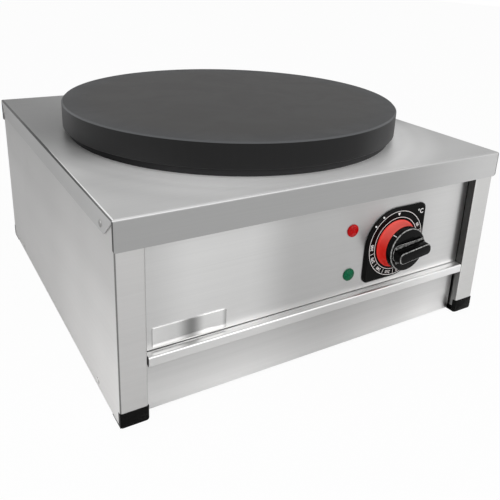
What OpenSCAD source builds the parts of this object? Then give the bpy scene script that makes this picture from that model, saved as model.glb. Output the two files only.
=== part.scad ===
// Electric crepe maker: a cast-iron plate on a folded stainless housing, with a thermostat
// panel and a shallow utensil drawer in front.
// X runs to the right, Y to the back and Z up, from the middle of the footprint.

/* [Housing] */
// Width of the top cover
cover_w = 456; // [450:1:500]
// Depth of the top cover
cover_d = 466; // [460:1:520]
// Height of the cover's upper face above the table
cover_h = 204; // [200:1:230]
// Depth of the lip that hangs round the cover
lip_h = 29; // [24:1:34]
// Thickness of the stainless sheet
sheet = 1.2; // [1:0.1:1.5]
// Outer radius of the cover's bent edges
bend_r = 2.4; // [1.8:0.1:3]
// Width of the face of each corner post
post_w = 27; // [25:1:30]
// Distance from the post's face back to the control panel
recess = 10; // [9:0.5:14]
// Depth of the post's inner return wall
return_d = 24; // [22:1:30]
// Gap between sheets that lie over each other
sheet_gap = 0.2; // [0.1:0.1:0.3]
// Gap behind the cover's front and back lips
lip_gap = 1; // [0.6:0.1:1.6]
// Depth of the lips at the cover's sides
side_lip = 21; // [18:1:23]
// Seam between the control panel and the posts
panel_seam = 0.8; // [0.4:0.1:1.5]

/* [Feet] */
// Height of the visible block of a foot
foot_h = 16; // [12:1:18]
// Thickness of the foot under the side wall
foot_pad = 2; // [1.5:0.5:3]
// Thickness of the block in front of the post
foot_block = 4.5; // [3:0.5:6]
// Depth of the foot's pad and plug
foot_d = 22; // [18:1:23]

/* [Cooking plate] */
// Diameter of the plate
plate_d = 400; // [380:1:410]
// Thickness of the plate at its rim
plate_t = 28; // [26:1:34]
// Gap from the cover up to the plate's rim
plate_gap = 8; // [7:0.5:10]
// Distance from the cover's front edge to the plate's rim
plate_front = 23; // [18:1:30]
// Thickness of the plate over the element
plate_floor = 12; // [11:0.5:15]
// Width of the rim round the underside
plate_rim = 18; // [14:1:22]
// Chamfer of the plate's upper edge
plate_edge = 1.6; // [0.8:0.2:2.4]
// Distance that the heat shield stands back under the rim
shield_in = 6; // [4:0.5:10]
// Radius of the stud circle
stud_circle = 110; // [104:1:116]
// Radius of a plate stud
stud_r = 4; // [3:0.5:4.5]

/* [Heating element] */
// Radius of the element's tube
tube_r = 4; // [3.2:0.2:4.2]
// Radius of the inner ring of the element
ring_in = 75; // [70:1:85]
// Radius of the outer ring of the element
ring_out = 145; // [138:1:152]
// Bend radius of the element's ends
elbow_r = 10; // [8:0.5:11]
// Half the distance between the two legs of a ring
leg_half = 15; // [12:1:20]
// Thickness of the clamp plate
clamp_t = 2; // [1.5:0.5:2.5]

/* [Control panel] */
// Distance of the dial from the housing's middle
dial_x = 91.5; // [80:0.5:110]
// Height of the dial's axis
dial_z = 114; // [110:0.5:124]
// Radius of the bezel's face
bezel_r = 39; // [38:0.5:41]
// Width of the step round the bezel's face
bezel_step = 3.5; // [2:0.5:4]
// Thickness of the bezel
bezel_t = 4; // [3.5:0.5:5]
// Radius of the red skirt where it meets the bezel
skirt_r = 27.5; // [26:0.5:29]
// Radius of the knob
knob_r = 24.5; // [22:0.5:25.5]
// Distance from the panel to the knob's front
knob_reach = 34; // [30:1:40]
// Width of the knob's grip bar
grip_w = 10; // [8:0.5:14]
// Radius of the thermostat's spindle
spindle_r = 3; // [2.5:0.5:4]
// Running gap between the spindle and its bush
spindle_gap = 0.05; // [0.02:0.01:0.08]
// Tilt of the grip bar at rest, from level
grip_tilt = 7; // [0:1:20]
// Distance of the lamps from the housing's middle
lamp_x = 31; // [10:1:36]
// Height of the red lamp
lamp_red_z = 139.5; // [132:0.5:150]
// Height of the green lamp
lamp_green_z = 88.5; // [84:0.5:98]
// Radius of a lamp's lens
lamp_r = 7; // [6:0.5:8]
// Width of the bare badge plate
badge_w = 75; // [60:1:85]
// Height of the bare badge plate
badge_h = 20; // [14:1:24]

/* [Drawer] */
// Height of the drawer front's lower edge
drawer_z = 3; // [2.5:0.5:5]
// Height of the upper face of the pull
pull_z = 66; // [62:1:68]
// Height of the pull's front fold
pull_h = 9.5; // [8:0.5:12]
// Gap on each side of the drawer front
drawer_gap = 2.5; // [1.5:0.5:3]
// Gap on each side of the pull
pull_gap = 1; // [0.6:0.1:1.5]
// Depth of the tray
tray_d = 380; // [340:1:385]
// Thickness of the tray's sheet
tray_t = 1; // [0.8:0.1:1.2]
// Width of the flange that carries the tray
tray_flange = 8.5; // [7:0.5:9]
// Travel of the drawer
drawer_travel = 300; // [200:1:310]
// Gap between the tray's flange and its runner
slide_gap = 0.3; // [0.2:0.1:0.5]

/* [Back] */
// Distance of the cable gland from the right side
gland_in = 78; // [66:1:90]
// Height of the cable gland
gland_z = 96; // [90:1:110]
// Distance that the gland stands out behind the cover
gland_out = 22; // [18:1:26]
// Radius of the gland's cable bore
gland_bore = 4.5; // [3.5:0.5:5]
// Radius of the earth stud
earth_r = 3; // [2.5:0.5:4]
// Length of the earth stud outside the back panel
earth_l = 16; // [14:1:20]

/* [Hidden] */
$fn = 64;

eps = 0.01;
step = sheet + sheet_gap;                 // from a sheet's face to the face of the sheet under it
lip_step = sheet + lip_gap;               // the same for the front and back lips
front_out = knob_reach - recess - lip_step;  // how far the knob stands out in front of the cover
front_y = (front_out - gland_out - cover_d) / 2;
back_y = front_y + cover_d;

// Side panels and posts
side_x = cover_w / 2 - step;              // outer face of a side panel
post_y = front_y + lip_step;              // face of the front posts
rear_y = back_y - lip_step;               // outer face of the rear flanges
side_d = rear_y - post_y;
post_in = side_x - post_w;                // inner face of a post's return wall
side_top = cover_h - bend_r - sheet_gap;
panel_y = post_y + recess;                // face of the control panel
chamber_x = side_x - sheet - sheet_gap;   // half the room between the side walls
return_y = post_y + return_d;             // rear edge of the return wall
return_z = 7;                             // lower edge of the return wall
tab_run = 22;                             // length of the slanted cut at a side lip's end
lip_round = 3;                            // rounding of the front and back lips' lower corners

// Cooking plate stack, from the top down
plate_r = plate_d / 2;
plate_y = front_y + plate_front + plate_r;
plate_z = cover_h + plate_gap;            // underside of the plate's rim
plate_top = plate_z + plate_t;
cavity_r = plate_r - plate_rim;
roof_z = plate_top - plate_floor;         // underside of the plate over the element
fit = 0.1;
tube_z = roof_z - tube_r - fit;
clamp_top = tube_z - tube_r - fit;
clamp_z = clamp_top - clamp_t;
pan_t = 1;
pan_z = cover_h;
blanket_z = pan_z + pan_t;
blanket_h = clamp_z - blanket_z - sheet_gap;
clamp_r = cavity_r - 12;
blanket_r = cavity_r - 4;
pan_r = plate_r - shield_in;
pan_gap = 0.5;
stud_hold = plate_floor - 3;              // length of stud inside the plate
thread_gap = 0.05;
spacer_r = stud_r + 3;
spacer_gap = 0.2;
washer_t = 1.6;
washer_r = stud_r * 2.2;
nut_h = stud_r * 1.6;
stud_tail = 4;
nut_top = cover_h - sheet - washer_t;

// Element legs
leg_pin_r = 2;
leg_end = cover_h - 14;                   // lower end of the sheathed leg
pin_end = leg_end - 10;
leg_clear = 2.5;
function gap_angle(r) = asin((leg_half + elbow_r) / r);
function leg_x(r) = r * sin(gap_angle(r)) - elbow_r * cos(gap_angle(r));
function leg_y(r) = r * cos(gap_angle(r)) + elbow_r * sin(gap_angle(r));

// Sensor bulb and its capillary
bulb_r = 3;
bulb_l = 84;
bulb_y = -20;
capillary_r = 1;
capillary_x = bulb_l / 2 + 16;
capillary_hole = 7;

// Dial
skirt_recess = 1.5;
skirt_gap = 0.4;
skirt_z = bezel_t - skirt_recess + skirt_gap;
skirt_top = 14.5;
knob_body = 7.5;
grip_z = skirt_top + knob_body;
hub_hole = 8;
spindle_back = 12;
thermostat_w = 34;
thermostat_h = 44;
thermostat_d = 30;
bush_r = 5.5;
plate_bracket = 1.5;
screw_pitch = 28;
screw_r = 2;
screw_head_r = 3.6;
screw_head_h = 2;
screw_l = 8;

// Lamps
lamp_hole = 5.8;
lamp_stem = 5.5;
lamp_body_r = 6.2;
lamp_body_l = 24;
lamp_rim = 2;
lamp_dome = 3;
lamps = [[lamp_red_z, "red"], [lamp_green_z, "green"]];

// Badge
badge_x = -post_in + 8;
badge_z = pull_z + 2.5;
badge_t = 0.8;

// Drawer
drawer_half = post_in - drawer_gap;
pull_half = post_in - pull_gap;
pull_y = post_y + 0.3;
seat_gap = 0.8;
panel_z = pull_z + seat_gap;              // lower edge of the control panel
panel_flange = 12;
shelf_z = panel_z + sheet;
shelf_t = sheet;
runner_t = 1.2;
runner_y = return_y + 2;
runner_web = post_in - runner_t - 0.1;    // inner face of a runner's web
runner_lip = 8;
runner_flange = 12;
flange_z = pull_z - 10;                   // upper face of the tray's flange
lip_z = flange_z - tray_t - slide_gap;    // upper face of the runner's lip
tray_half = runner_web - 1 - tray_flange;
tray_y = panel_y + sheet;
tray_end = tray_y + tray_d;
tray_z = drawer_z + 4;
stop_t = 1.5;
stop_d = 10;
stop_h = 9;
stop_w = 7.5;
stop_y = tray_end - stop_t - drawer_travel - slide_gap;  // rear face of the fixed stop

// Base, shelf and back
base_z = foot_pad + 1;
base_flange = 12;
plug_gap = 0.3;
foot_out = 0.4;                           // how far a foot stands out beside its post
foot_round = 1.6;                         // rounding of a foot's lower edges
plug_d = foot_d - foot_block;
corner_d = foot_d + 2;
back_in = rear_y - sheet;                 // outer face of the back panel
back_z = foot_h + 2;
back_half = side_x - bend_r - sheet_gap;
shelf_end = back_in - sheet - sheet_gap;
vent_x = -60;
vent_z = 92;
vent_l = 34;
vent_w = 4;
vent_pitch = 10;
vent_rows = 8;
rivet_r = 2.4;
rivet_head_r = 3.4;
rivet_head_h = 1;
rivet_front = 30;
rivet_back = 16;
rivet_z = cover_h - 14;
screw_z = [40, 105, 168];
gland_x = cover_w / 2 - gland_in;
gland_thread = 8;
gland_hex = 12;
gland_flange = 6;
gland_inside = 9;                         // length of the gland's thread inside the back panel
earth_x = gland_x + 30;
earth_z = 50;
terminal_w = 52;
terminal_d = 22;
terminal_h = 22;
terminal_y = shelf_end - 62;
limiter_x = -70;
limiter_y = panel_y + 70;
limiter_w = 30;
limiter_d = 26;
limiter_h = 36;
floor_z = shelf_z + shelf_t;              // upper face of the shelf
wire_r = 1.6;
wire_end = 0.4;                           // gap between a wire's end and the piece it meets
wire_n = 5;

// ---------- shapes that repeat ----------

// Rounded rectangle with its lower left corner at the origin
module rounded_rect(w, d, r) {
    translate([r, 0]) square([w - 2 * r, d]);
    translate([0, r]) square([w, d - 2 * r]);
    for (x = [r, w - r]) for (y = [r, d - r]) translate([x, y]) circle(r);
}

// Rectangle with rounded upper corners, centred on the Y axis
module rounded_top(w, h, r) {
    translate([-w / 2, 0]) square([w, h - r]);
    translate([r - w / 2, 0]) square([w - 2 * r, h]);
    for (s = [-1, 1]) translate([s * (w / 2 - r), h - r]) circle(r);
}

// Block with its four upper edges rounded, front face at y = 0
module lid_block(w, d, h, r) {
    intersection() {
        translate([0, d, 0]) rotate([90, 0, 0]) linear_extrude(d) rounded_top(w, h, r);
        translate([-w / 2, 0, 0]) rotate([90, 0, 90]) linear_extrude(w)
            translate([d / 2, 0]) rounded_top(d, h, r);
    }
}

// Box from its lowest to its highest corner
module span(lo, hi) {
    translate(lo) cube(hi - lo);
}

// Slot with round ends along X, centred, cut along Z
module slot_x(l, w) {
    square([l - w, w], center = true);
    for (s = [-1, 1]) translate([s * (l - w) / 2, 0]) circle(w / 2);
}

// Places the child on a point of the control panel, its Z towards the front
module on_panel(x, z) {
    translate([x, panel_y, z]) rotate([90, 0, 0]) children();
}

// Places the child on the back panel's outer face, its Z towards the back
module on_back(x, z) {
    translate([x, back_in, z]) rotate([-90, 0, 0]) children();
}

// Pan head screw standing on z = 0, its shank going down
module pan_screw(r, head_r, head_h, l) {
    translate([0, 0, -l]) cylinder(h = l, r = r);
    intersection() {
        cylinder(h = head_h, r = head_r);
        translate([0, 0, head_h - head_r * 1.6]) sphere(head_r * 1.6);
    }
}

// Hexagon nut with a bore, its lower face on z = 0
module hex_nut(across, h, bore) {
    difference() {
        cylinder(h = h, r = across, $fn = 6);
        translate([0, 0, -1]) cylinder(h = h + 2, r = bore);
    }
}

// One point of a smooth curve through four points, t from 0 to 1 between the middle two
function smooth_point(a, b, c, d, t) =
    0.5 * (2 * b + (c - a) * t + (2 * a - 5 * b + 4 * c - d) * t * t
    + (3 * b - a - 3 * c + d) * t * t * t);

// A smooth route through all points, n steps between two of them
function smooth_route(p, n) = concat(
    [for (i = [0 : len(p) - 2]) for (k = [0 : n - 1])
        smooth_point(p[max(i - 1, 0)], p[i], p[i + 1], p[min(i + 2, len(p) - 1)], k / n)],
    [p[len(p) - 1]]);

// A tube of eight sides swept along a route; no part of the route runs along lean
module swept_tube(route, r, lean = [0.31, 0.52, 0.79]) {
    sides = 8;
    n = len(route);
    way = [for (i = [0 : n - 1]) route[min(i + 1, n - 1)] - route[max(i - 1, 0)]];
    rings = [for (i = [0 : n - 1])
        let (t = way[i] / norm(way[i]), u0 = cross(t, lean), u = u0 / norm(u0), v = cross(t, u))
        for (k = [0 : sides - 1])
            route[i] + r * (cos(k * 360 / sides) * u + sin(k * 360 / sides) * v)];
    polyhedron(rings, concat(
        [[for (k = [0 : sides - 1]) k]],
        [for (i = [0 : n - 2]) for (k = [0 : sides - 1])
            let (a = i * sides + k, b = i * sides + (k + 1) % sides)
            [a, a + sides, b + sides, b]],
        [[for (k = [sides - 1 : -1 : 0]) (n - 1) * sides + k]]));
}

module wire(points, r = wire_r) {
    swept_tube(smooth_route(points, wire_n), r);
}

// ---------- housing ----------

module at_plate(z) {
    translate([0, plate_y, z]) children();
}

module at_studs() {
    for (a = [-90, 30, 150]) rotate(a) translate([stud_circle, 0, 0]) children();
}

module at_legs() {
    for (r = [ring_in, ring_out]) for (s = [-1, 1])
        translate([s * leg_x(r), leg_y(r), 0]) children();
}

// The holes that studs, element legs and capillary need in a sheet under the plate
module service_holes(stud_hole, leg_hole) {
    at_studs() translate([0, 0, -50]) cylinder(h = 100, r = stud_hole);
    at_legs() translate([0, 0, -50]) cylinder(h = 100, r = leg_hole);
    translate([capillary_x, bulb_y, -50]) cylinder(h = 100, r = capillary_hole);
}

module at_rivets() {
    for (s = [-1, 1]) for (y = [front_y + rivet_front, back_y - rivet_back])
        translate([s * cover_w / 2, y, rivet_z]) rotate([0, s * 90, 0]) children();
}

module top_cover() color("silver") {
    difference() {
        translate([0, front_y, cover_h - lip_h]) lid_block(cover_w, cover_d, lip_h, bend_r);
        translate([0, front_y + sheet, cover_h - lip_h - 1])
            lid_block(cover_w - 2 * sheet, cover_d - 2 * sheet, lip_h - sheet + 1, bend_r - sheet);
        at_plate(cover_h) service_holes(stud_r + 0.5, tube_r + leg_clear);
        // the side lips: shorter than the front one, with slanted ends
        for (s = [-1, 1]) translate([s * cover_w / 2 - sheet, front_y, cover_h])
            rotate([90, 0, 90]) linear_extrude(2 * sheet) polygon([
                [sheet, -bend_r], [sheet + tab_run, -side_lip],
                [cover_d - sheet - tab_run, -side_lip], [cover_d - sheet, -bend_r],
                [cover_d - sheet, -lip_h - 1], [sheet, -lip_h - 1]]);
        for (s = [-1, 1]) translate([s * cover_w / 2, front_y - 1, cover_h - lip_h])
            rotate([-90, 0, 0]) linear_extrude(cover_d + 2) difference() {
                square(2 * lip_round, center = true);
                translate([-s * lip_round, -lip_round]) circle(lip_round);
            }
        at_rivets() translate([0, 0, -10]) cylinder(h = 20, r = rivet_r);
    }
}

// Plan of the left side panel: side wall, front post with its return wall, rear flange
module side_plan() {
    difference() {
        union() {
            rounded_rect(post_w, side_d, bend_r);
            translate([post_w / 2, side_d / 2]) square([post_w / 2, side_d / 2]);
        }
        translate([sheet, sheet])
            rounded_rect(post_w - 2 * sheet, side_d - 2 * sheet, bend_r - sheet);
        translate([post_w / 2, return_d]) square([post_w, side_d - sheet - return_d]);
    }
}

module left_side() {
    difference() {
        translate([-side_x, post_y, foot_pad + sheet_gap])
            linear_extrude(side_top - foot_pad - sheet_gap) side_plan();
        for (y = [post_y - 1, rear_y - foot_block - sheet_gap])
            span([-side_x - 1, y, 0], [-post_in + 1, y + 1 + foot_block + sheet_gap,
                foot_h + sheet_gap]);
        // the return wall's lower edge, rounded at the front
        r = foot_h + sheet_gap - return_z;
        translate([-post_in - sheet - 0.5, post_y, 0]) rotate([90, 0, 90])
            linear_extrude(sheet + 1) difference() {
                translate([-1, -1]) square([return_d + 2, return_z + r + 1]);
                translate([r, return_z]) square([return_d + 2, r + 1]);
                translate([r, return_z + r]) circle(r);
            }
        for (z = screw_z) translate([-post_in - post_w / 2, rear_y - 5, z]) rotate([-90, 0, 0])
            cylinder(h = 10, r = screw_r + 0.2);
        for (y = base_screw_y()) translate([-side_x - 1, y, base_z + base_flange / 2])
            rotate([0, 90, 0]) cylinder(h = 5, r = screw_r + 0.2);
        at_rivets() translate([0, 0, -10]) cylinder(h = 20, r = rivet_r);
    }
}

module left_side_panel() color("gainsboro") left_side();

module right_side_panel() color("gainsboro") mirror([1, 0, 0]) left_side();

module control_panel() color("whitesmoke") {
    half = post_in - panel_seam;
    difference() {
        span([-half, panel_y, panel_z], [half, panel_y + panel_flange, side_top - sheet_gap]);
        span([sheet - half, panel_y + sheet, panel_z + sheet],
            [half - sheet, panel_y + panel_flange + 1, side_top - sheet_gap - sheet]);
        on_panel(dial_x, dial_z) {
            translate([0, 0, -3]) cylinder(h = 6, r = bush_r + 0.3);
            for (s = [-1, 1]) translate([s * screw_pitch / 2, 0, -3])
                cylinder(h = 6, r = screw_r + 0.2);
        }
        for (lamp = lamps) on_panel(lamp_x, lamp[0]) translate([0, 0, -3])
            cylinder(h = 6, r = lamp_hole);
    }
}

module back_panel() color("gainsboro") {
    difference() {
        span([-back_half, back_in - sheet, back_z], [back_half, back_in, side_top - sheet_gap]);
        for (s = [-1, 1]) for (i = [0 : vent_rows - 1])
            on_back(vent_x + s * (vent_l / 2 + 8), vent_z + i * vent_pitch)
                translate([0, 0, -5]) linear_extrude(10) slot_x(vent_l, vent_w);
        on_back(gland_x, gland_z) translate([0, 0, -5]) cylinder(h = 10, r = gland_thread + 0.2);
        on_back(earth_x, earth_z) translate([0, 0, -5]) cylinder(h = 10, r = earth_r + 0.1);
        for (s = [-1, 1]) for (z = screw_z) on_back(s * (post_in + post_w / 2), z)
            translate([0, 0, -5]) cylinder(h = 10, r = screw_r + 0.1);
    }
}

function base_screw_y() = [return_y + 40, rear_y - corner_d - 40];

module base_panel() color("gainsboro") {
    front = return_y + sheet_gap;
    rear = back_in - sheet - sheet_gap;
    narrow = post_in - 2;
    difference() {
        union() {
            span([-narrow, front, base_z], [narrow, rear, base_z + sheet]);
            span([-chamber_x, post_y + corner_d + 2, base_z],
                [chamber_x, rear_y - corner_d, base_z + sheet]);
            for (s = [-1, 1]) span([s * chamber_x - (s + 1) / 2 * sheet, post_y + corner_d + 2, base_z],
                [s * chamber_x - (s - 1) / 2 * sheet, rear_y - corner_d, base_z + base_flange]);
            span([-narrow, rear - sheet, base_z], [narrow, rear, back_z + 10]);
        }
        for (s = [-1, 1]) for (y = base_screw_y())
            translate([s * chamber_x, y, base_z + base_flange / 2]) rotate([0, 90, 0])
                cylinder(h = 8, r = screw_r + 0.1, center = true);
    }
}

module electrics_shelf() color("gainsboro") {
    wide_y = return_y + sheet_gap;
    narrow = post_in - panel_seam - sheet - sheet_gap;
    span([-narrow, panel_y + sheet + sheet_gap, shelf_z], [narrow, wide_y + eps, shelf_z + shelf_t]);
    span([-chamber_x, wide_y, shelf_z], [chamber_x, shelf_end, shelf_z + shelf_t]);
    for (s = [-1, 1])
        span([s * chamber_x - (s + 1) / 2 * sheet, wide_y, shelf_z],
            [s * chamber_x - (s - 1) / 2 * sheet, shelf_end, shelf_z + base_flange]);
}

// Front left foot: pad under the wall, visible block, plug inside the post
module foot() {
    left = -side_x - sheet_gap;
    right = -post_in + foot_out;
    front = post_y - sheet_gap;
    back = post_y + foot_d;
    intersection() {
        union() {
            span([left, front, -1], [right, back, foot_pad]);
            intersection() {
                span([left, front, -1], [right, post_y + foot_block, foot_h]);
                translate([left, front, -1]) linear_extrude(foot_h + 2)
                    rounded_rect(right - left, 4 * foot_block, bend_r);
            }
            span([-side_x + sheet + plug_gap, post_y + foot_block - 1, 1],
                [-post_in - sheet - plug_gap, back - 1, foot_h - 3]);
        }
        translate([(left + right) / 2, front, foot_h]) mirror([0, 0, 1])
            lid_block(right - left, back - front, foot_h, foot_round);
    }
}

module foot_front_left() color("black") foot();

module foot_front_right() color("black") mirror([1, 0, 0]) foot();

module foot_back_left() color("black")
    translate([0, post_y + rear_y, 0]) mirror([0, 1, 0]) foot();

module foot_back_right() color("black") mirror([1, 0, 0])
    translate([0, post_y + rear_y, 0]) mirror([0, 1, 0]) foot();

// ---------- cooking plate and heater ----------

module cooking_plate() color("dimgray") {
    difference() {
        at_plate(plate_z) rotate_extrude() polygon([
            [0, roof_z - plate_z], [cavity_r, roof_z - plate_z], [cavity_r, 0],
            [plate_r - 1, 0], [plate_r, 1], [plate_r, plate_t - plate_edge],
            [plate_r - plate_edge, plate_t], [0, plate_t]]);
        at_plate(roof_z) at_studs() translate([0, 0, -1])
            cylinder(h = stud_hold + 1, r = stud_r + thread_gap);
    }
}

module heat_shield_pan() color("dimgray") {
    wall_top = plate_gap - pan_gap;
    difference() {
        at_plate(pan_z) rotate_extrude() polygon([
            [0, 0], [pan_r, 0], [pan_r, wall_top], [pan_r - pan_t, wall_top],
            [pan_r - pan_t, pan_t], [0, pan_t]]);
        at_plate(pan_z) service_holes(stud_r + 0.5, tube_r + leg_clear);
    }
}

module insulation_blanket() color("ivory") {
    difference() {
        at_plate(blanket_z) cylinder(h = blanket_h, r = blanket_r);
        at_plate(blanket_z) service_holes(spacer_r + 1, tube_r + leg_clear + 1);
    }
}

module element_clamp_plate() color("lightslategray") {
    difference() {
        at_plate(clamp_z) cylinder(h = clamp_t, r = clamp_r);
        at_plate(clamp_z) service_holes(stud_r + 0.3, elbow_r + tube_r);
    }
}

// One end of an element: it leaves the ring along X, turns down and ends in its pin
module element_end() {
    translate([0, 0, -elbow_r]) rotate([90, 0, 0]) rotate_extrude(angle = 90)
        translate([elbow_r, 0]) circle(tube_r);
    leg = tube_z - elbow_r - leg_end;
    translate([elbow_r, 0, -elbow_r - leg]) cylinder(h = leg, r = tube_r);
    translate([elbow_r, 0, -elbow_r - leg - (leg_end - pin_end)])
        cylinder(h = leg_end - pin_end, r = leg_pin_r);
}

module element_ring(r) {
    g = gap_angle(r);
    at_plate(tube_z) rotate(90) {
        rotate(g) rotate_extrude(angle = 360 - 2 * g, $fn = 96) translate([r, 0]) circle(tube_r);
        for (s = [1, -1]) rotate(s * g) translate([r, 0, 0]) rotate(s * -90)
            element_end();
    }
}

module element_inner() color("slategray") element_ring(ring_in);

module element_outer() color("slategray") element_ring(ring_out);

module plate_studs() color("silver") {
    low = nut_top - nut_h - stud_tail;
    at_plate(low) at_studs() cylinder(h = roof_z + stud_hold - low, r = stud_r);
}

module stud_spacers() color("silver") {
    at_plate(blanket_z) at_studs() difference() {
        cylinder(h = clamp_z - blanket_z, r = spacer_r);
        translate([0, 0, -1]) cylinder(h = plate_t, r = stud_r + spacer_gap);
    }
}

module stud_nuts() color("silver") {
    at_plate(nut_top - nut_h) at_studs() {
        hex_nut(stud_r * 1.85, nut_h, stud_r + thread_gap);
        translate([0, 0, nut_h]) difference() {
            cylinder(h = washer_t, r = washer_r);
            translate([0, 0, -1]) cylinder(h = 4, r = stud_r + 0.2);
        }
    }
}

module sensor_bulb() color("goldenrod") {
    z = roof_z - bulb_r - 2 * fit;
    y = plate_y + bulb_y;
    end_z = dial_z + thermostat_h / 6;
    run = y - thermostat_back;
    translate([-bulb_l / 2, y, z]) rotate([0, 90, 0]) cylinder(h = bulb_l, r = bulb_r);
    wire([[bulb_l / 2 - 1, y, z], [bulb_l / 2 + 7, y, z - 1],
        [capillary_x, y, z - 12], [capillary_x, y, cover_h - 8],
        [(capillary_x + dial_x) / 2, y - 0.35 * run, cover_h - 24],
        [dial_x, y - 0.7 * run, (cover_h + end_z) / 2 - 10],
        [dial_x, thermostat_back + 12, end_z], [dial_x, thermostat_back + wire_end, end_z]],
        capillary_r);
}

// ---------- thermostat, knob and lamps ----------

module thermostat_body() color("whitesmoke") {
    depth = sheet + plate_bracket;
    difference() {
        on_panel(dial_x, dial_z) {
            translate([-screw_pitch / 2 - 5, -9, -depth]) cube([screw_pitch + 10, 18, plate_bracket]);
            translate([-thermostat_w / 2, -thermostat_h / 2, -depth - thermostat_d])
                cube([thermostat_w, thermostat_h, thermostat_d]);
            translate([0, 0, -depth]) cylinder(h = depth + 1, r = bush_r);
        }
        on_panel(dial_x, dial_z) {
            translate([0, 0, -depth - spindle_back]) cylinder(h = 40, r = spindle_r + spindle_gap);
            for (s = [-1, 1]) translate([s * screw_pitch / 2, 0, -depth - screw_l])
                cylinder(h = 2 * screw_l + depth, r = screw_r + 0.05);
        }
    }
}

module thermostat_spindle() color("silver") {
    low = -sheet - plate_bracket - spindle_back + 0.5;
    on_panel(dial_x, dial_z) translate([0, 0, low]) cylinder(h = grip_z + 4 - low, r = spindle_r);
}

module thermostat_screws() color("silver") {
    on_panel(dial_x, dial_z) for (s = [-1, 1]) translate([s * screw_pitch / 2, 0, 0])
        pan_screw(screw_r, screw_head_r, screw_head_h, screw_l);
}

// Leaf-shaped outline: a disc with two opposite corners drawn out square
module bezel_outline(r, corner) {
    circle(r, $fn = 128);
    for (a = [0, 180]) rotate(a) translate([-corner, -corner])
        rounded_rect(r + corner, r + corner, corner);
}

module dial_bezel() color("black") {
    on_panel(dial_x, dial_z) difference() {
        union() {
            linear_extrude(bezel_t) bezel_outline(bezel_r, 5);
            linear_extrude(bezel_t * 0.4) bezel_outline(bezel_r + bezel_step, 5 + bezel_step);
        }
        translate([0, 0, bezel_t - skirt_recess]) cylinder(h = 5, r = skirt_r + 1);
        translate([0, 0, -1]) cylinder(h = 10, r = hub_hole);
        for (s = [-1, 1]) translate([s * screw_pitch / 2, 0, -1])
            cylinder(h = 10, r = screw_head_r + 0.4);
    }
}

module knob_skirt() color("red") {
    on_panel(dial_x, dial_z) difference() {
        translate([0, 0, skirt_z]) cylinder(h = skirt_top - skirt_z, r1 = skirt_r, r2 = knob_r);
        translate([0, 0, -1]) cylinder(h = 30, r = spindle_r + 0.1);
    }
}

module knob() color([0.08, 0.08, 0.08]) {
    edge = 2;
    grip_h = knob_reach - grip_z;
    on_panel(dial_x, dial_z) difference() {
        union() {
            translate([0, 0, skirt_top]) rotate_extrude() {
                square([knob_r, knob_body - edge]);
                square([knob_r - edge, knob_body]);
                translate([knob_r - edge, knob_body - edge]) circle(edge);
            }
            rotate(grip_tilt) intersection() {
                translate([0, 0, grip_z - 1]) linear_extrude(grip_h + 1)
                    slot_x(2 * knob_r, grip_w);
                rotate([90, 0, 0]) translate([0, 0, -grip_w]) linear_extrude(2 * grip_w)
                    translate([0, grip_z - 2]) rounded_top(2 * knob_r, grip_h + 2, 4);
            }
        }
        translate([0, 0, -1]) cylinder(h = grip_z + 5.2, r = spindle_r + 0.02);
    }
}

module safety_limiter() color("peru") {
    translate([limiter_x, limiter_y, floor_z]) {
        translate([-limiter_w / 2 - 8, -8, 0]) cube([limiter_w + 16, 16, 1.5]);
        translate([-limiter_w / 2, -limiter_d / 2, 1.5]) cube([limiter_w, limiter_d, limiter_h]);
        translate([0, 0, limiter_h + 1.5]) cylinder(h = 6, r = 4);
    }
}

module lamp_lens(z) {
    on_panel(lamp_x, z) {
        translate([0, 0, -sheet]) cylinder(h = sheet + 1, r = lamp_stem);
        cylinder(h = lamp_rim, r = lamp_r);
        intersection() {
            translate([0, 0, lamp_rim - eps]) cylinder(h = lamp_dome, r = lamp_r - 0.4);
            translate([0, 0, lamp_rim + lamp_dome - 2 * lamp_r]) sphere(2 * lamp_r);
        }
    }
}

module lamp_lens_red() color("red") lamp_lens(lamp_red_z);

module lamp_lens_green() color("seagreen") lamp_lens(lamp_green_z);

module lamp_bodies() color("dimgray") {
    for (lamp = lamps) on_panel(lamp_x, lamp[0]) {
        translate([0, 0, -sheet - 3]) cylinder(h = 3, r = lamp_body_r + 2.4, $fn = 6);
        translate([0, 0, -sheet - lamp_body_l]) cylinder(h = lamp_body_l - 3 + eps, r = lamp_body_r);
    }
}

module badge_plate() color("silver") {
    translate([badge_x, panel_y, badge_z]) rotate([90, 0, 0])
        linear_extrude(badge_t) rounded_rect(badge_w, badge_h, 2);
}

// ---------- drawer ----------

// Section of the front and its pull: y to the front, z up, drawn from the front's lower edge
module drawer_section() {
    reach = panel_y - pull_y;
    top = pull_z - drawer_z;
    translate([-sheet, 0]) square([sheet, top]);
    translate([-sheet, top - sheet]) square([reach + sheet - 2, sheet]);
    translate([reach - sheet, top - pull_h + 0.6]) square([sheet, pull_h - 2.6]);
    translate([reach - 2, top - 2]) difference() {
        circle(2);
        circle(2 - sheet);
        translate([-3, -3]) square([3, 6]);
        translate([-3, -3]) square([6, 3]);
    }
    translate([reach - 1.2, top - pull_h + 0.6]) circle(0.6 + 0.6 * sheet / 1.2);
}

module drawer_front() color("whitesmoke") {
    reach = panel_y - pull_y;
    difference() {
        translate([-pull_half, panel_y, drawer_z]) rotate([90, 0, 90]) mirror([1, 0, 0])
            linear_extrude(2 * pull_half) drawer_section();
        for (s = [-1, 1]) translate([s * (drawer_half + 10), panel_y, 0])
            cube([20, 6, 2 * (pull_z - pull_h)], center = true);
    }
    for (s = [-1, 1]) {
        x = s * pull_half - (s + 1) / 2 * sheet;
        translate([x, panel_y, pull_z - pull_h]) rotate([90, 0, 90]) mirror([1, 0, 0])
            linear_extrude(sheet) rounded_rect(reach, pull_h, 2);
    }
}

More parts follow.
